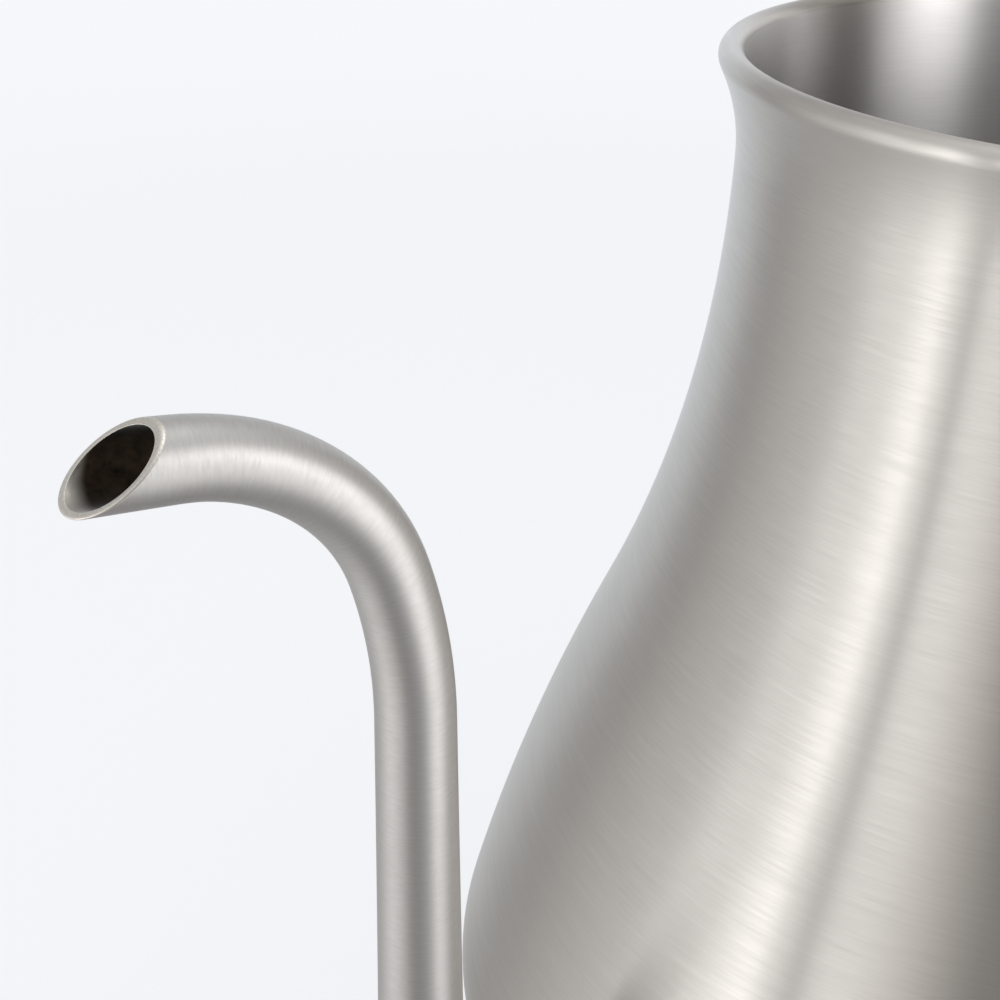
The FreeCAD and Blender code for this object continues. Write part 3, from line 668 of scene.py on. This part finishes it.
ROOT_STEP = 0.5 * MM
root_first = ROOT_R - ROOT_INSIDE
root_drawn = root_span + SLEEVE - root_first
root_count = int(root_drawn / ROOT_STEP)
root_runs = [root_first + i * root_drawn / root_count for i in range(root_count + 1)]
root_frames = [spout_frame(*root_at(s), root_radius(s)) for s in root_runs]
root = loft("spout_root_drawn", [round_ring(place) for place in root_frames], False)
finish_mesh(root, LOFT_SMOOTH_DEG)
apply_modifier(root, "SOLIDIFY", thickness=TUBE_WALL, offset=-1.0, use_even_offset=True)
block_line = wall_line(SINK, INNER_STEPS)[0]
block_line = [Vector((0, block_line[0].y))] + block_line + [Vector((0, block_line[-1].y))]
block = turned("wall_block", block_line, False)
apply_modifier(root, "BOOLEAN", operation="DIFFERENCE", solver="EXACT", object=block)
bpy.data.objects.remove(block)
EDGE_STEPS = 3
apply_modifier(root, "BEVEL", width=ROOT_EDGE, segments=EDGE_STEPS, limit_method="ANGLE",
               angle_limit=math.radians(ROOT_SHARP_DEG))
bpy.ops.object.shade_smooth_by_angle(angle=math.radians(LOFT_SMOOTH_DEG))
mark_run(root, root_frames, root_runs)
fit_out(root, "kettle", "spout_root", "brushed_steel", pipe_steel)

# Brackets: two stainless pressings, each with a foot welded to the vessel, a shelf and a rib.
# They carry the handle strap, the upper one together with the lid's hinge. Edges are tumbled smooth.
BRACKET_EDGE = 0.35 * MM
SHARP_DEG, SMOOTH_DEG, FLAT_DEG = 35, 30, 0.5


def soften(node_name, ending, edge, body, slot, finish):
    """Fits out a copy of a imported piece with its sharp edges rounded."""
    piece = bpy.data.objects.new(node_name + "_" + ending, frame["nodes"][node_name].data.copy())
    bpy.context.collection.objects.link(piece)
    piece.data.materials.clear()
    bpy.ops.object.select_all(action="DESELECT")
    bpy.context.view_layer.objects.active = piece
    piece.select_set(True)
    bpy.ops.mesh.customdata_custom_splitnormals_clear()
    bpy.ops.object.mode_set(mode="EDIT")
    bpy.ops.mesh.select_all(action="SELECT")
    bpy.ops.mesh.remove_doubles(threshold=MERGE)
    bpy.ops.mesh.dissolve_limited(angle_limit=math.radians(FLAT_DEG))
    bpy.ops.object.mode_set(mode="OBJECT")
    apply_modifier(piece, "BEVEL", width=edge, segments=EDGE_STEPS, limit_method="ANGLE",
                   angle_limit=math.radians(SHARP_DEG))
    bpy.ops.object.shade_smooth_by_angle(angle=math.radians(SMOOTH_DEG))
    fit_out(piece, body, node_name, slot, finish)


satin_steel = worked_metal("satin_bracket_steel", dark=(0.50, 0.49, 0.475, 1), light=(0.62, 0.61, 0.595, 1),
                           rough=0.38, spread=0.06, marks=(120, 2600, 2600), relief=0.25)
for place in ("upper", "lower"):
    soften(place + "_bracket", "pressed", BRACKET_EDGE, "kettle", "bracket_steel", satin_steel)

# Handle strap: flat stainless bar, bent to a tall loop and riveted to the two brackets.
# Its edges are rounded and it is brushed along its length.
STRAP_T = 2.5 * MM
STRAP_W = 16.0 * MM
STRAP_EDGE = 0.6 * MM
STRAP_TOP = RIM_Z - 11.0 * MM
STRAP_LOW = FLOOR_Z + 27.0 * MM
REACH = 41.0 * MM
LEAN = 6.0 * MM
TOP_BEND_R = 32.0 * MM
LOW_BEND_R = 22.0 * MM
PATH_STEP = 1.5 * MM
run_tilt = math.atan2(LEAN, STRAP_TOP - STRAP_LOW)
OUT_DEG = -math.degrees(run_tilt)


def bend_centre(z, radius):
    """Centre of a bend at height z, beside the leaning straight run."""
    run_x = BELLY_R + REACH - LEAN * (STRAP_TOP - z) / (STRAP_TOP - STRAP_LOW)
    return Vector((run_x - radius / math.cos(run_tilt), z))


top_c = bend_centre(STRAP_TOP - TOP_BEND_R, TOP_BEND_R)
low_c = bend_centre(STRAP_LOW + LOW_BEND_R, LOW_BEND_R)


def strap_frame(place, deg):
    """A frame on the strap: X looks outwards, Y sideways and Z along the strap."""
    out = Vector((math.cos(math.radians(deg)), 0, math.sin(math.radians(deg))))
    side = Vector((0, 1, 0))
    turn = Matrix((out, side, out.cross(side))).transposed().to_4x4()
    return Matrix.Translation((place[0], 0, place[1])) @ turn


def bend_frames(high_deg, low_deg):
    """Frames from an angle on the upper bend, down the straight run, to an angle on the lower bend."""
    out = []
    bends = ((top_c, TOP_BEND_R, high_deg, OUT_DEG), (low_c, LOW_BEND_R, OUT_DEG, low_deg))
    for centre, radius, start, end in bends:
        steps = max(int(math.radians(start - end) * radius / PATH_STEP), 1)
        degs = [start + (end - start) * i / steps for i in range(steps + 1)]
        out += [strap_frame(polar(centre, radius, deg), deg) for deg in degs]
    return out


def run_along(frames):
    """How far each frame is from the first."""
    runs = [0.0]
    for here, there in zip(frames, frames[1:]):
        runs.append(runs[-1] + (there.translation - here.translation).length)
    return runs


STRAP_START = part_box("handle_strap")[0].x
STRAP_END = BELLY_R + 2.0 * MM
strap_frames = [strap_frame((STRAP_START, STRAP_TOP), 90)] + bend_frames(90, -90)
strap_frames.append(strap_frame((STRAP_END, STRAP_LOW), -90))
half_t, half_w = STRAP_T / 2, STRAP_W / 2
bar = rounded([(-half_t, -half_w, STRAP_EDGE), (half_t, -half_w, STRAP_EDGE),
               (half_t, half_w, STRAP_EDGE), (-half_t, half_w, STRAP_EDGE)], closed=True)
strap = loft("handle_strap_bent", [[f @ Vector((p.x, p.y, 0)) for p in bar] for f in strap_frames], True)
finish_mesh(strap)
mark_run(strap, strap_frames, run_along(strap_frames))


def lengthways_steel(name, along=70.0, close=4200.0, rough=0.35, spread=0.05, relief=0.2):
    """Steel brushed along a strap, read from what is written on its vertices. Scratches are per metre."""
    material, tree, shader = new_material(name, metallic=1.0)
    run = node(tree, "Attribute", attribute_name="tube_run").outputs["Fac"]
    across = node(tree, "SeparateXYZ", Vector=own_place(tree)).outputs["Y"]
    place = node(tree, "CombineXYZ", X=calc(tree, "MULTIPLY", run, along),
                 Y=calc(tree, "MULTIPLY", across, close))
    grain = node(tree, "TexNoise", Vector=place.outputs[0], Scale=1.0, Detail=4.0, Roughness=0.6).outputs[0]
    grained(tree, shader, grain, STEEL_DARK, STEEL_LIGHT, rough + spread, rough - spread)
    raised(tree, shader, grain, relief, SCRATCH_DEEP)
    return material


fit_out(strap, "kettle", "handle_strap", "bracket_steel", lengthways_steel("brushed_strap_steel"))

# Grip: two black mouldings that close round the strap, held by two rivets through all three.
# The halves meet in a fine parting line, their backs are crowned and their ends run down to the strap.
GRIP_WRAP_DEG = 26.0
GRIP_OUT = 7.0 * MM
GRIP_IN = 8.0 * MM
GRIP_W = 22.0 * MM
GRIP_ROUND = 5.0 * MM
GRIP_CROWN = 0.6 * MM
CROWN_ROUND = 80.0 * MM
GRIP_END = 7.0 * MM
END_RINGS, END_STEP_DEG = 10, 9
END_TALL, END_WIDE = 0.25, 0.9     # what is left of the grip's height and width at its very ends
PARTING = 0.1 * MM
PARTING_EDGE = 0.5 * MM
GRIP_RIVET_R = 1.9 * MM
RIVET_PLACES = (0.12, 0.88)        # shares of the straight run
SEAT_R = 1.9 * GRIP_RIVET_R
GRIP_SEAT = 1.2 * MM
SLIVER = 0.01 * MM


def grip_section(far):
    """Half of the grip across the strap: a crowned back, rounded sides and a slot for the strap."""
    way = math.copysign(1.0, far)
    slot, slot_half, half = way * (STRAP_T / 2 + FIT), STRAP_W / 2 + FIT, GRIP_W / 2
    back, gap = far - way * GRIP_CROWN, way * PARTING
    corners = [(slot, slot_half, 0), (gap, slot_half, 0), (gap, half, PARTING_EDGE), (back, half, GRIP_ROUND),
               (far, 0, CROWN_ROUND), (back, -half, GRIP_ROUND), (gap, -half, PARTING_EDGE),
               (gap, -slot_half, 0), (slot, -slot_half, 0)]
    return rounded(corners, closed=True)


def grip_ring(place, section, swell):
    """The section in a frame; towards the ends of the grip, what stands above the strap shrinks."""
    ring = []
    for spot in section:
        low = min(abs(spot.x), STRAP_T)
        high = math.copysign(low + (abs(spot.x) - low) * swell, spot.x)
        ring.append(place @ Vector((high, spot.y * (END_WIDE + (1 - END_WIDE) * swell), 0)))
    return ring


def moulded_black(name):
    """Black phenolic moulding: a fine matt grain with faint cloudiness."""
    material, tree, shader = new_material(name)
    place = own_place(tree)
    grain = node(tree, "TexNoise", Vector=place, Scale=2600.0, Detail=3.0, Roughness=0.55).outputs[0]
    cloud = node(tree, "TexNoise", Vector=place, Scale=90.0, Detail=3.0, Roughness=0.6).outputs[0]
    grained(tree, shader, cloud, (0.016, 0.016, 0.017, 1), (0.030, 0.029, 0.029, 1), 0.40, 0.52)
    raised(tree, shader, grain, 0.35, 0.03 * MM)
    return material


grip_black = moulded_black("black_moulding_grip")
end_runs = [GRIP_END * (1 - math.cos(math.radians(END_STEP_DEG * i))) for i in range(END_RINGS)]
top_degs = [GRIP_WRAP_DEG - math.degrees(run / TOP_BEND_R) for run in end_runs]
low_degs = [math.degrees(run / LOW_BEND_R) - GRIP_WRAP_DEG for run in reversed(end_runs)]
grip_frames = [strap_frame(polar(top_c, TOP_BEND_R, deg), deg) for deg in top_degs]
grip_frames += bend_frames(top_degs[-1], low_degs[0])[1:-1]
grip_frames += [strap_frame(polar(low_c, LOW_BEND_R, deg), deg) for deg in low_degs]
grip_runs = run_along(grip_frames)
run_top, run_low = polar(top_c, TOP_BEND_R, OUT_DEG), polar(low_c, LOW_BEND_R, OUT_DEG)
rivet_spots = [run_low.lerp(run_top, share) for share in RIVET_PLACES]
rivet_way = polar((0, 0), 1.0, OUT_DEG)
rivet_turn = (0, math.pi / 2 - math.radians(OUT_DEG), 0)
for name, far in (("grip_outer", STRAP_T / 2 + GRIP_OUT), ("grip_inner", -STRAP_T / 2 - GRIP_IN)):
    rings = []
    for place, run in zip(grip_frames, grip_runs):
        inset = min(min(run, grip_runs[-1] - run) / GRIP_END, 1.0)
        swell = END_TALL + (1 - END_TALL) * math.sqrt(1 - (1 - inset) ** 2)
        rings.append(grip_ring(place, grip_section(far), swell))
    grip = finish_mesh(loft(name + "_moulded", rings, True), LOFT_SMOOTH_DEG)
    seat_way = math.copysign(1.0, far)
    for spot in rivet_spots:
        bore(grip, GRIP_RIVET_R + FIT, 4 * GRIP_IN, (spot.x, 0, spot.y), rivet_turn)
        seat = spot + rivet_way * (far - seat_way * (GRIP_SEAT - GRIP_OUT / 2))
        bore(grip, SEAT_R, GRIP_OUT, (seat.x, 0, seat.y), rivet_turn)
    bpy.ops.object.mode_set(mode="EDIT")
    bpy.ops.mesh.select_all(action="SELECT")
    bpy.ops.mesh.dissolve_degenerate(threshold=SLIVER)
    finish_mesh(grip, LOFT_SMOOTH_DEG)
    fit_out(grip, "kettle", name, "black_moulding", grip_black)

# Rivets and hinge pin: turned stainless with rounded heads, set cold and left bright.
# Two hold the grip, two each the ends of the strap, and the pin carries the lid between its bracket's ears.
STUD_EDGE = 0.15 * MM
bright_steel = worked_metal("bright_fastener_steel", dark=(0.62, 0.61, 0.60, 1), light=(0.74, 0.73, 0.72, 1),
                            rough=0.24, spread=0.06, marks=(1800, 1800, 1800), relief=0.12)
for node_name in ("grip_rivets", "upper_rivets", "lower_rivets", "hinge_pin"):
    soften(node_name, "set", STUD_EDGE, "kettle", "fastener_steel", bright_steel)

# Hinge bracket: one folded stainless plate with two ears for the pin and a web that stops the open lid.
# It sits on the strap's upper end under the same two rivets.
HINGE_EDGE = 0.3 * MM
soften("hinge_bracket", "folded", HINGE_EDGE, "kettle", "bracket_steel", satin_steel)

# Lid: a stainless cover with a low dome, and a skirt below it that guides it in the neck.
# Both are drawn shut, brushed round the lid's own axis, and stand open on the hinge.
LID_T = 0.8 * MM
LID_EDGE = 0.45 * LID_T
LID_Z = RIM_Z + 0.3 * MM
LID_R = NECK_R + LIP_OUT + 0.8 * MM
DOME_R = LID_R - 15.75 * MM
DOME_H = 7.0 * MM
DOME_BLEND = 3.0 * MM
DOME_STEPS = 12
SHOULDER_H = 0.68 * DOME_H
LAND_R = 8.0 * MM
SKIRT_R = NECK_R - WALL - 0.8 * MM
SKIRT_DEEP = 9.0 * MM
SKIRT_EDGE = 0.4 * LID_T
FLANGE_R = DOME_R + 2.5 * LID_T
FLANGE_EDGE = 0.3 * LID_T
VENT_R = 1.5 * MM
VENT_X = -0.66 * DOME_R
SCREW_R = 2.0 * MM
LEAF_W = 16.0 * MM
LEAF_RIVET_R = 1.2 * MM
LEAF_RIVET_Y = 0.31 * LEAF_W
PIERCE = 10 * LID_T
lid_hinge = frame["joints"][0]
pin = Vector(lid_hinge["pos_m"])
OPEN = math.radians(-lid_hinge["range_deg"][0])
swing = Matrix.Translation(pin) @ Matrix.Rotation(OPEN, 4, "Y") @ Matrix.Translation(-pin)


def through(a, b, c, steps):
    """Arc through three points of the profile plane."""
    ab, ac = b - a, c - a
    across = 2 * (ab.x * ac.y - ab.y * ac.x)
    centre = a + Vector((ac.y * ab.length_squared - ab.y * ac.length_squared,
                         ab.x * ac.length_squared - ac.x * ab.length_squared)) / across
    start, end = angle_to(centre, a), angle_to(centre, c)
    return arc(centre, (a - centre).length, start, end, steps)


def lid_line(z):
    """Contour of the cover at one face of its sheet, from the rim in to the axis."""
    foot, crown = Vector((DOME_R, z)), Vector((LAND_R, z + DOME_H))
    shoulder = Vector(((DOME_R + LAND_R) / 2, z + SHOULDER_H))
    dome = [(p.x, p.y, 0) for p in through(foot, shoulder, crown, DOME_STEPS)]
    dome[0] = (foot.x, foot.y, DOME_BLEND)
    dome[-1] = (crown.x, crown.y, DOME_BLEND)
    return [(LID_R, z, LID_EDGE)] + dome + [(0, crown.y, 0)]


cover = turned("lid_cover_pressed", rounded(lid_line(LID_Z + LID_T)[::-1] + lid_line(LID_Z)), False)
skirt_in, skirt_low, flange_low = SKIRT_R - LID_T, LID_Z - SKIRT_DEEP, LID_Z - LID_T
skirt_line = rounded([(FLANGE_R, LID_Z, FLANGE_EDGE), (SKIRT_R, LID_Z, LID_T),
                      (SKIRT_R, skirt_low, SKIRT_EDGE), (skirt_in, skirt_low, SKIRT_EDGE),
                      (skirt_in, flange_low, FLANGE_EDGE), (FLANGE_R, flange_low, FLANGE_EDGE)], closed=True)
skirt = turned("lid_skirt_pressed", skirt_line, True)
leaf_x = (FLANGE_R + skirt_in) / 2
for leaf_y in (-LEAF_RIVET_Y, LEAF_RIVET_Y):
    for piece in (cover, skirt):
        bore(piece, LEAF_RIVET_R + FIT, PIERCE, (leaf_x, leaf_y, LID_Z))
bore(cover, SCREW_R + FIT, PIERCE, (0, 0, LID_Z + DOME_H))
bore(cover, VENT_R, 4 * DOME_H, (VENT_X, 0, LID_Z))
lid_steel = turned_steel("brushed_steel_lid", tilt=OPEN, pivot=pin)
for piece, node_name in ((cover, "lid_cover"), (skirt, "lid_skirt")):
    piece.data.transform(swing)
    fit_out(piece, "lid", node_name, "brushed_steel", lid_steel)

# Hinge leaf: a stainless plate curled round the pin, so that it turns between the bracket's ears.
# Two small rivets hold it, the flat of the lid and the skirt's flange together.
LEAF_EDGE, LEAF_STUD_EDGE = 0.25 * MM, 0.12 * MM
soften("lid_leaf", "curled", LEAF_EDGE, "lid", "bracket_steel", satin_steel)
soften("leaf_rivets", "set", LEAF_STUD_EDGE, "lid", "fastener_steel", bright_steel)

# Knob: a black moulding with a brass insert, on a silicone washer that keeps its heat from the lid.
# A screw from below holds the three to the lid's crown.
KNOB_R = 12.5 * MM
KNOB_TALL = 20.0 * MM
KNOB_STEPS, KNOB_TURN_STEPS = 8, 128
SOCKET_R = 0.28 * KNOB_R + FIT
SOCKET_DEEP = 0.55 * KNOB_TALL + FIT
WASHER_T = 1.0 * MM
WASHER_EDGE = 0.3 * MM
knob_foot = LID_Z + LID_T + DOME_H + WASHER_T
KNOB_SHAPE = ((0.56, 0.0), (0.46, 0.22), (0.80, 0.50), (1.0, 0.76), (0.74, 0.95), (0.30, 1.0))


def smooth_line(points, steps):
    """A smooth line through points, with the slope at each taken from its neighbours."""
    line = []
    for i in range(len(points) - 1):
        a, b = points[i], points[i + 1]
        slope_a = (b - points[max(i - 1, 0)]) / 2
        slope_b = (points[min(i + 2, len(points) - 1)] - a) / 2
        for j in range(steps):
            t = j / steps
            line.append(a * (2 * t ** 3 - 3 * t ** 2 + 1) + slope_a * (t ** 3 - 2 * t ** 2 + t)
                        + b * (3 * t ** 2 - 2 * t ** 3) + slope_b * (t ** 3 - t ** 2))
    return line + [points[-1]]


knob_corners = [Vector((r * KNOB_R, knob_foot + z * KNOB_TALL)) for r, z in KNOB_SHAPE]
socket = [Vector((0, knob_foot + SOCKET_DEEP)), Vector((SOCKET_R, knob_foot + SOCKET_DEEP)),
          Vector((SOCKET_R, knob_foot))]
knob_line = socket + smooth_line(knob_corners, KNOB_STEPS) + [Vector((0, knob_foot + KNOB_TALL))]
knob = turned("lid_knob_moulded", knob_line, False, KNOB_TURN_STEPS)
knob.data.transform(swing)
fit_out(knob, "lid", "lid_knob", "black_moulding", grip_black)


def silicone_rubber(name):
    """Dark silicone with a faint dusty bloom."""
    material, tree, shader = new_material(name)
    bloom = node(tree, "TexNoise", Vector=own_place(tree), Scale=600.0, Detail=4.0).outputs[0]
    grained(tree, shader, bloom, (0.045, 0.045, 0.047, 1), (0.075, 0.075, 0.077, 1), 0.62, 0.8)
    return material


soften("knob_washer", "moulded", WASHER_EDGE, "lid", "silicone", silicone_rubber("dark_silicone"))
soften("knob_screw", "set", STUD_EDGE, "lid", "fastener_steel", bright_steel)
insert_brass = worked_metal("turned_brass", dark=(0.64, 0.47, 0.22, 1), light=(0.78, 0.60, 0.32, 1),
                            rough=0.3, spread=0.06, marks=(2000, 2000, 2000), relief=0.2)
frame["nodes"]["knob_insert"].material_slots[0].material = insert_brass

# Studio: a plain pale floor that runs into a backdrop of the same tone.
# The floor keeps the kettle's shadow close to it and fades to the backdrop further out.
PALE = (0.925, 0.934, 0.958, 1)
FLOOR_PAINT = (0.90, 0.91, 0.935, 1)
FLOOR_WIDE = 14.0
bpy.ops.object.select_all(action="DESELECT")
bpy.ops.mesh.primitive_plane_add(size=FLOOR_WIDE)
floor = bpy.context.object
floor.name = "studio_floor"


def seen(tree):
    """1 for rays that show the backdrop: straight to the camera, or by way of metal or glass."""
    path = node(tree, "LightPath").outputs
    shown = calc(tree, "ADD", path["Is Camera Ray"], path["Is Glossy Ray"])
    return calc(tree, "MINIMUM", calc(tree, "ADD", shown, path["Is Transmission Ray"]), 1.0)


FLOOR_GLOW = 0.75      # share of the backdrop's even tone in the floor; the rest keeps the shadow
SHADOW_NEAR, SHADOW_FAR = 0.35, 0.75
floor_paint, tree, shader = new_material("pale_floor")
shader.inputs["Base Color"].default_value = FLOOR_PAINT
shader.inputs["Roughness"].default_value = 0.9
shader.inputs["Specular IOR Level"].default_value = 0.0
glow = node(tree, "Emission", Color=PALE, Strength=1.0)
away = vector(tree, "LENGTH", own_place(tree))
glow_share = fade(tree, away, SHADOW_NEAR, SHADOW_FAR, FLOOR_GLOW, 1.0)
blend = node(tree, "MixShader", Fac=calc(tree, "MULTIPLY", seen(tree), glow_share))
tree.links.new(shader.outputs[0], blend.inputs[1])
tree.links.new(glow.outputs[0], blend.inputs[2])
tree.links.new(blend.outputs[0], tree.nodes["Material Output"].inputs["Surface"])
floor.data.materials.append(floor_paint)

world = bpy.data.worlds.new("studio")
bpy.context.scene.world = world
world.use_nodes = True
FILL = 0.45            # the backdrop's light on what doesn't mirror it
tree = world.node_tree
backdrop = tree.nodes["Background"]
backdrop.inputs["Color"].default_value = PALE
share = node(tree, "MapRange", Value=seen(tree), To_Min=FILL, To_Max=1.0)
tree.links.new(share.outputs["Result"], backdrop.inputs["Strength"])

# Light dome: what the kettle mirrors. Lit cloths stand round it with dark screens between them.
# WALLS goes round by compass angle from -X through -Y, ROOM from the ground up to the ceiling.
# Only mirrored rays see the dome, and they pass the floor.
DOME_FAR = 6.0
DOME_LIGHT = 2.4       # brightness where the lists below say 1
COOL, PLAIN, WARM = (0.96, 1.0, 1.05), (1.0, 1.0, 1.0), (1.04, 1.0, 0.96)
WALLS = (
    (-180, 0.52, PLAIN), (-174, 0.50, PLAIN), (-173.4, 0.15, PLAIN), (-170.6, 0.15, PLAIN),
    (-170, 0.62, PLAIN), (-160, 0.57, PLAIN), (-150, 0.36, WARM), (-143, 0.20, WARM), (-136, 0.07, WARM),
    (-105, 0.14, PLAIN), (-82, 0.20, PLAIN), (-70, 0.90, PLAIN), (-40, 0.90, PLAIN), (-28, 0.48, PLAIN),
    (-15, 0.42, PLAIN), (0, 0.42, PLAIN), (50, 0.36, COOL), (60, 0.38, COOL), (80, 0.33, COOL),
    (95, 0.30, COOL), (106, 0.21, PLAIN), (116, 0.19, PLAIN), (126, 0.25, PLAIN), (146, 0.35, PLAIN),
    (152, 0.41, PLAIN), (158, 0.53, PLAIN), (168, 0.57, PLAIN), (180, 0.52, PLAIN),
)
ROOM = ((-1, 0.15, PLAIN), (0.70, 0.22, PLAIN), (0.84, 0.32, PLAIN), (0.95, 0.42, PLAIN), (1, 0.42, PLAIN))
WALL_FOOT, WALL_TOP = (-1.0, -0.40), (0.30, 0.55)     # where the cloths fade, in the same measure as ROOM
bpy.ops.object.select_all(action="DESELECT")
bpy.ops.mesh.primitive_uv_sphere_add(segments=96, ring_count=48, radius=DOME_FAR)
dome = bpy.context.object
dome.name = "light_dome"
for ray in ("camera", "diffuse", "transmission", "shadow", "volume_scatter"):
    setattr(dome, "visible_" + ray, False)
floor.visible_glossy = False
tube.visible_glossy = False        # the wall mirrors the cloths and not the spout


def tones(tree, amount, levels):
    """Tones along a ramp, from (amount, level, tint) rows that span the whole range."""
    first, last = levels[0][0], levels[-1][0]
    share = node(tree, "MapRange", Value=amount, From_Min=first, From_Max=last).outputs["Result"]
    made = node(tree, "ValToRGB", Fac=share)
    stops = made.color_ramp.elements
    stops.remove(stops[0])
    for at, level, tint in levels:
        stop = stops.new((at - first) / (last - first))
        stop.color = [level * part for part in tint] + [1]
    stops.remove(stops[-1])
    return made.outputs[0]


dome_cloth, tree, _ = new_material("dome_cloth")
outlook = vector(tree, "NORMALIZE", own_place(tree))
spot = node(tree, "SeparateXYZ", Vector=outlook).outputs
compass = calc(tree, "DEGREES", calc(tree, "ARCTAN2", spot["Y"], spot["X"]))
foot = fade(tree, spot["Z"], *WALL_FOOT)
top = fade(tree, spot["Z"], *WALL_TOP, 1.0, 0.0)
cloths = mix(tree, calc(tree, "MULTIPLY", foot, top), tones(tree, spot["Z"], ROOM),
             tones(tree, compass, WALLS))
cloth_glow = node(tree, "Emission", Color=cloths, Strength=DOME_LIGHT)
tree.links.new(cloth_glow.outputs[0], tree.nodes["Material Output"].inputs["Surface"])
dome.data.materials.append(dome_cloth)

# Lamps: a broad one overhead and one to the left, soft, for what doesn't mirror.
# The small one to the right of the camera is only mirrored, in the mouth and on the spout.
LAMPS = {
    "overhead": ((0.0, 0.0, 1.2), (1.4, 1.4), 1.5, "glossy"),
    "left": ((-1.1, 0.35, 0.7), (0.9, 0.9), 1.2, "glossy"),
    "right": ((0.16, -0.30, 0.29), (0.23, 0.20), 2.45, "diffuse"),
}
LAMP_AIM = Vector((0, 0, 0.1))
for name, (place, (wide, tall), brightness, unseen) in LAMPS.items():
    lamp = bpy.data.lights.new(name, "AREA")
    lamp.shape = "RECTANGLE"
    lamp.size, lamp.size_y = wide, tall
    lamp.energy = math.pi * wide * tall * brightness
    holder = bpy.data.objects.new(name, lamp)
    bpy.context.collection.objects.link(holder)
    holder.location = place
    holder.rotation_euler = (LAMP_AIM - Vector(place)).to_track_quat("-Z", "Y").to_euler()
    setattr(holder, "visible_" + unseen, False)

# Camera: close to the spout, a little above the rim and looking down over the kettle's shoulder.
# Its place, turn and focal length are fitted to the outlines of wall and spout.
CAMERA_PLACE = (-0.153558, -0.129002, 0.189510)
PICTURE = 1000
FOCAL_PX = 1700.0
SENSOR = 36.0
camera_data = bpy.data.cameras.new("photo_camera")
camera_data.sensor_width = SENSOR
camera_data.lens = SENSOR * FOCAL_PX / PICTURE
camera_data.clip_start = 0.01
camera = bpy.data.objects.new("photo_camera", camera_data)
bpy.context.collection.objects.link(camera)
LOOK_AZIMUTH, LOOK_DOWN, ROLL = (math.radians(d) for d in (60.0, 26.94, 1.93))
camera.matrix_world = (
    Matrix.Translation(CAMERA_PLACE)
    @ Matrix.Rotation(LOOK_AZIMUTH - math.pi / 2, 4, "Z")
    @ Matrix.Rotation(math.pi / 2 - LOOK_DOWN, 4, "X")
    @ Matrix.Rotation(ROLL, 4, "Z")
)
bpy.context.scene.camera = camera
bpy.context.scene.view_settings.view_transform = "Standard"
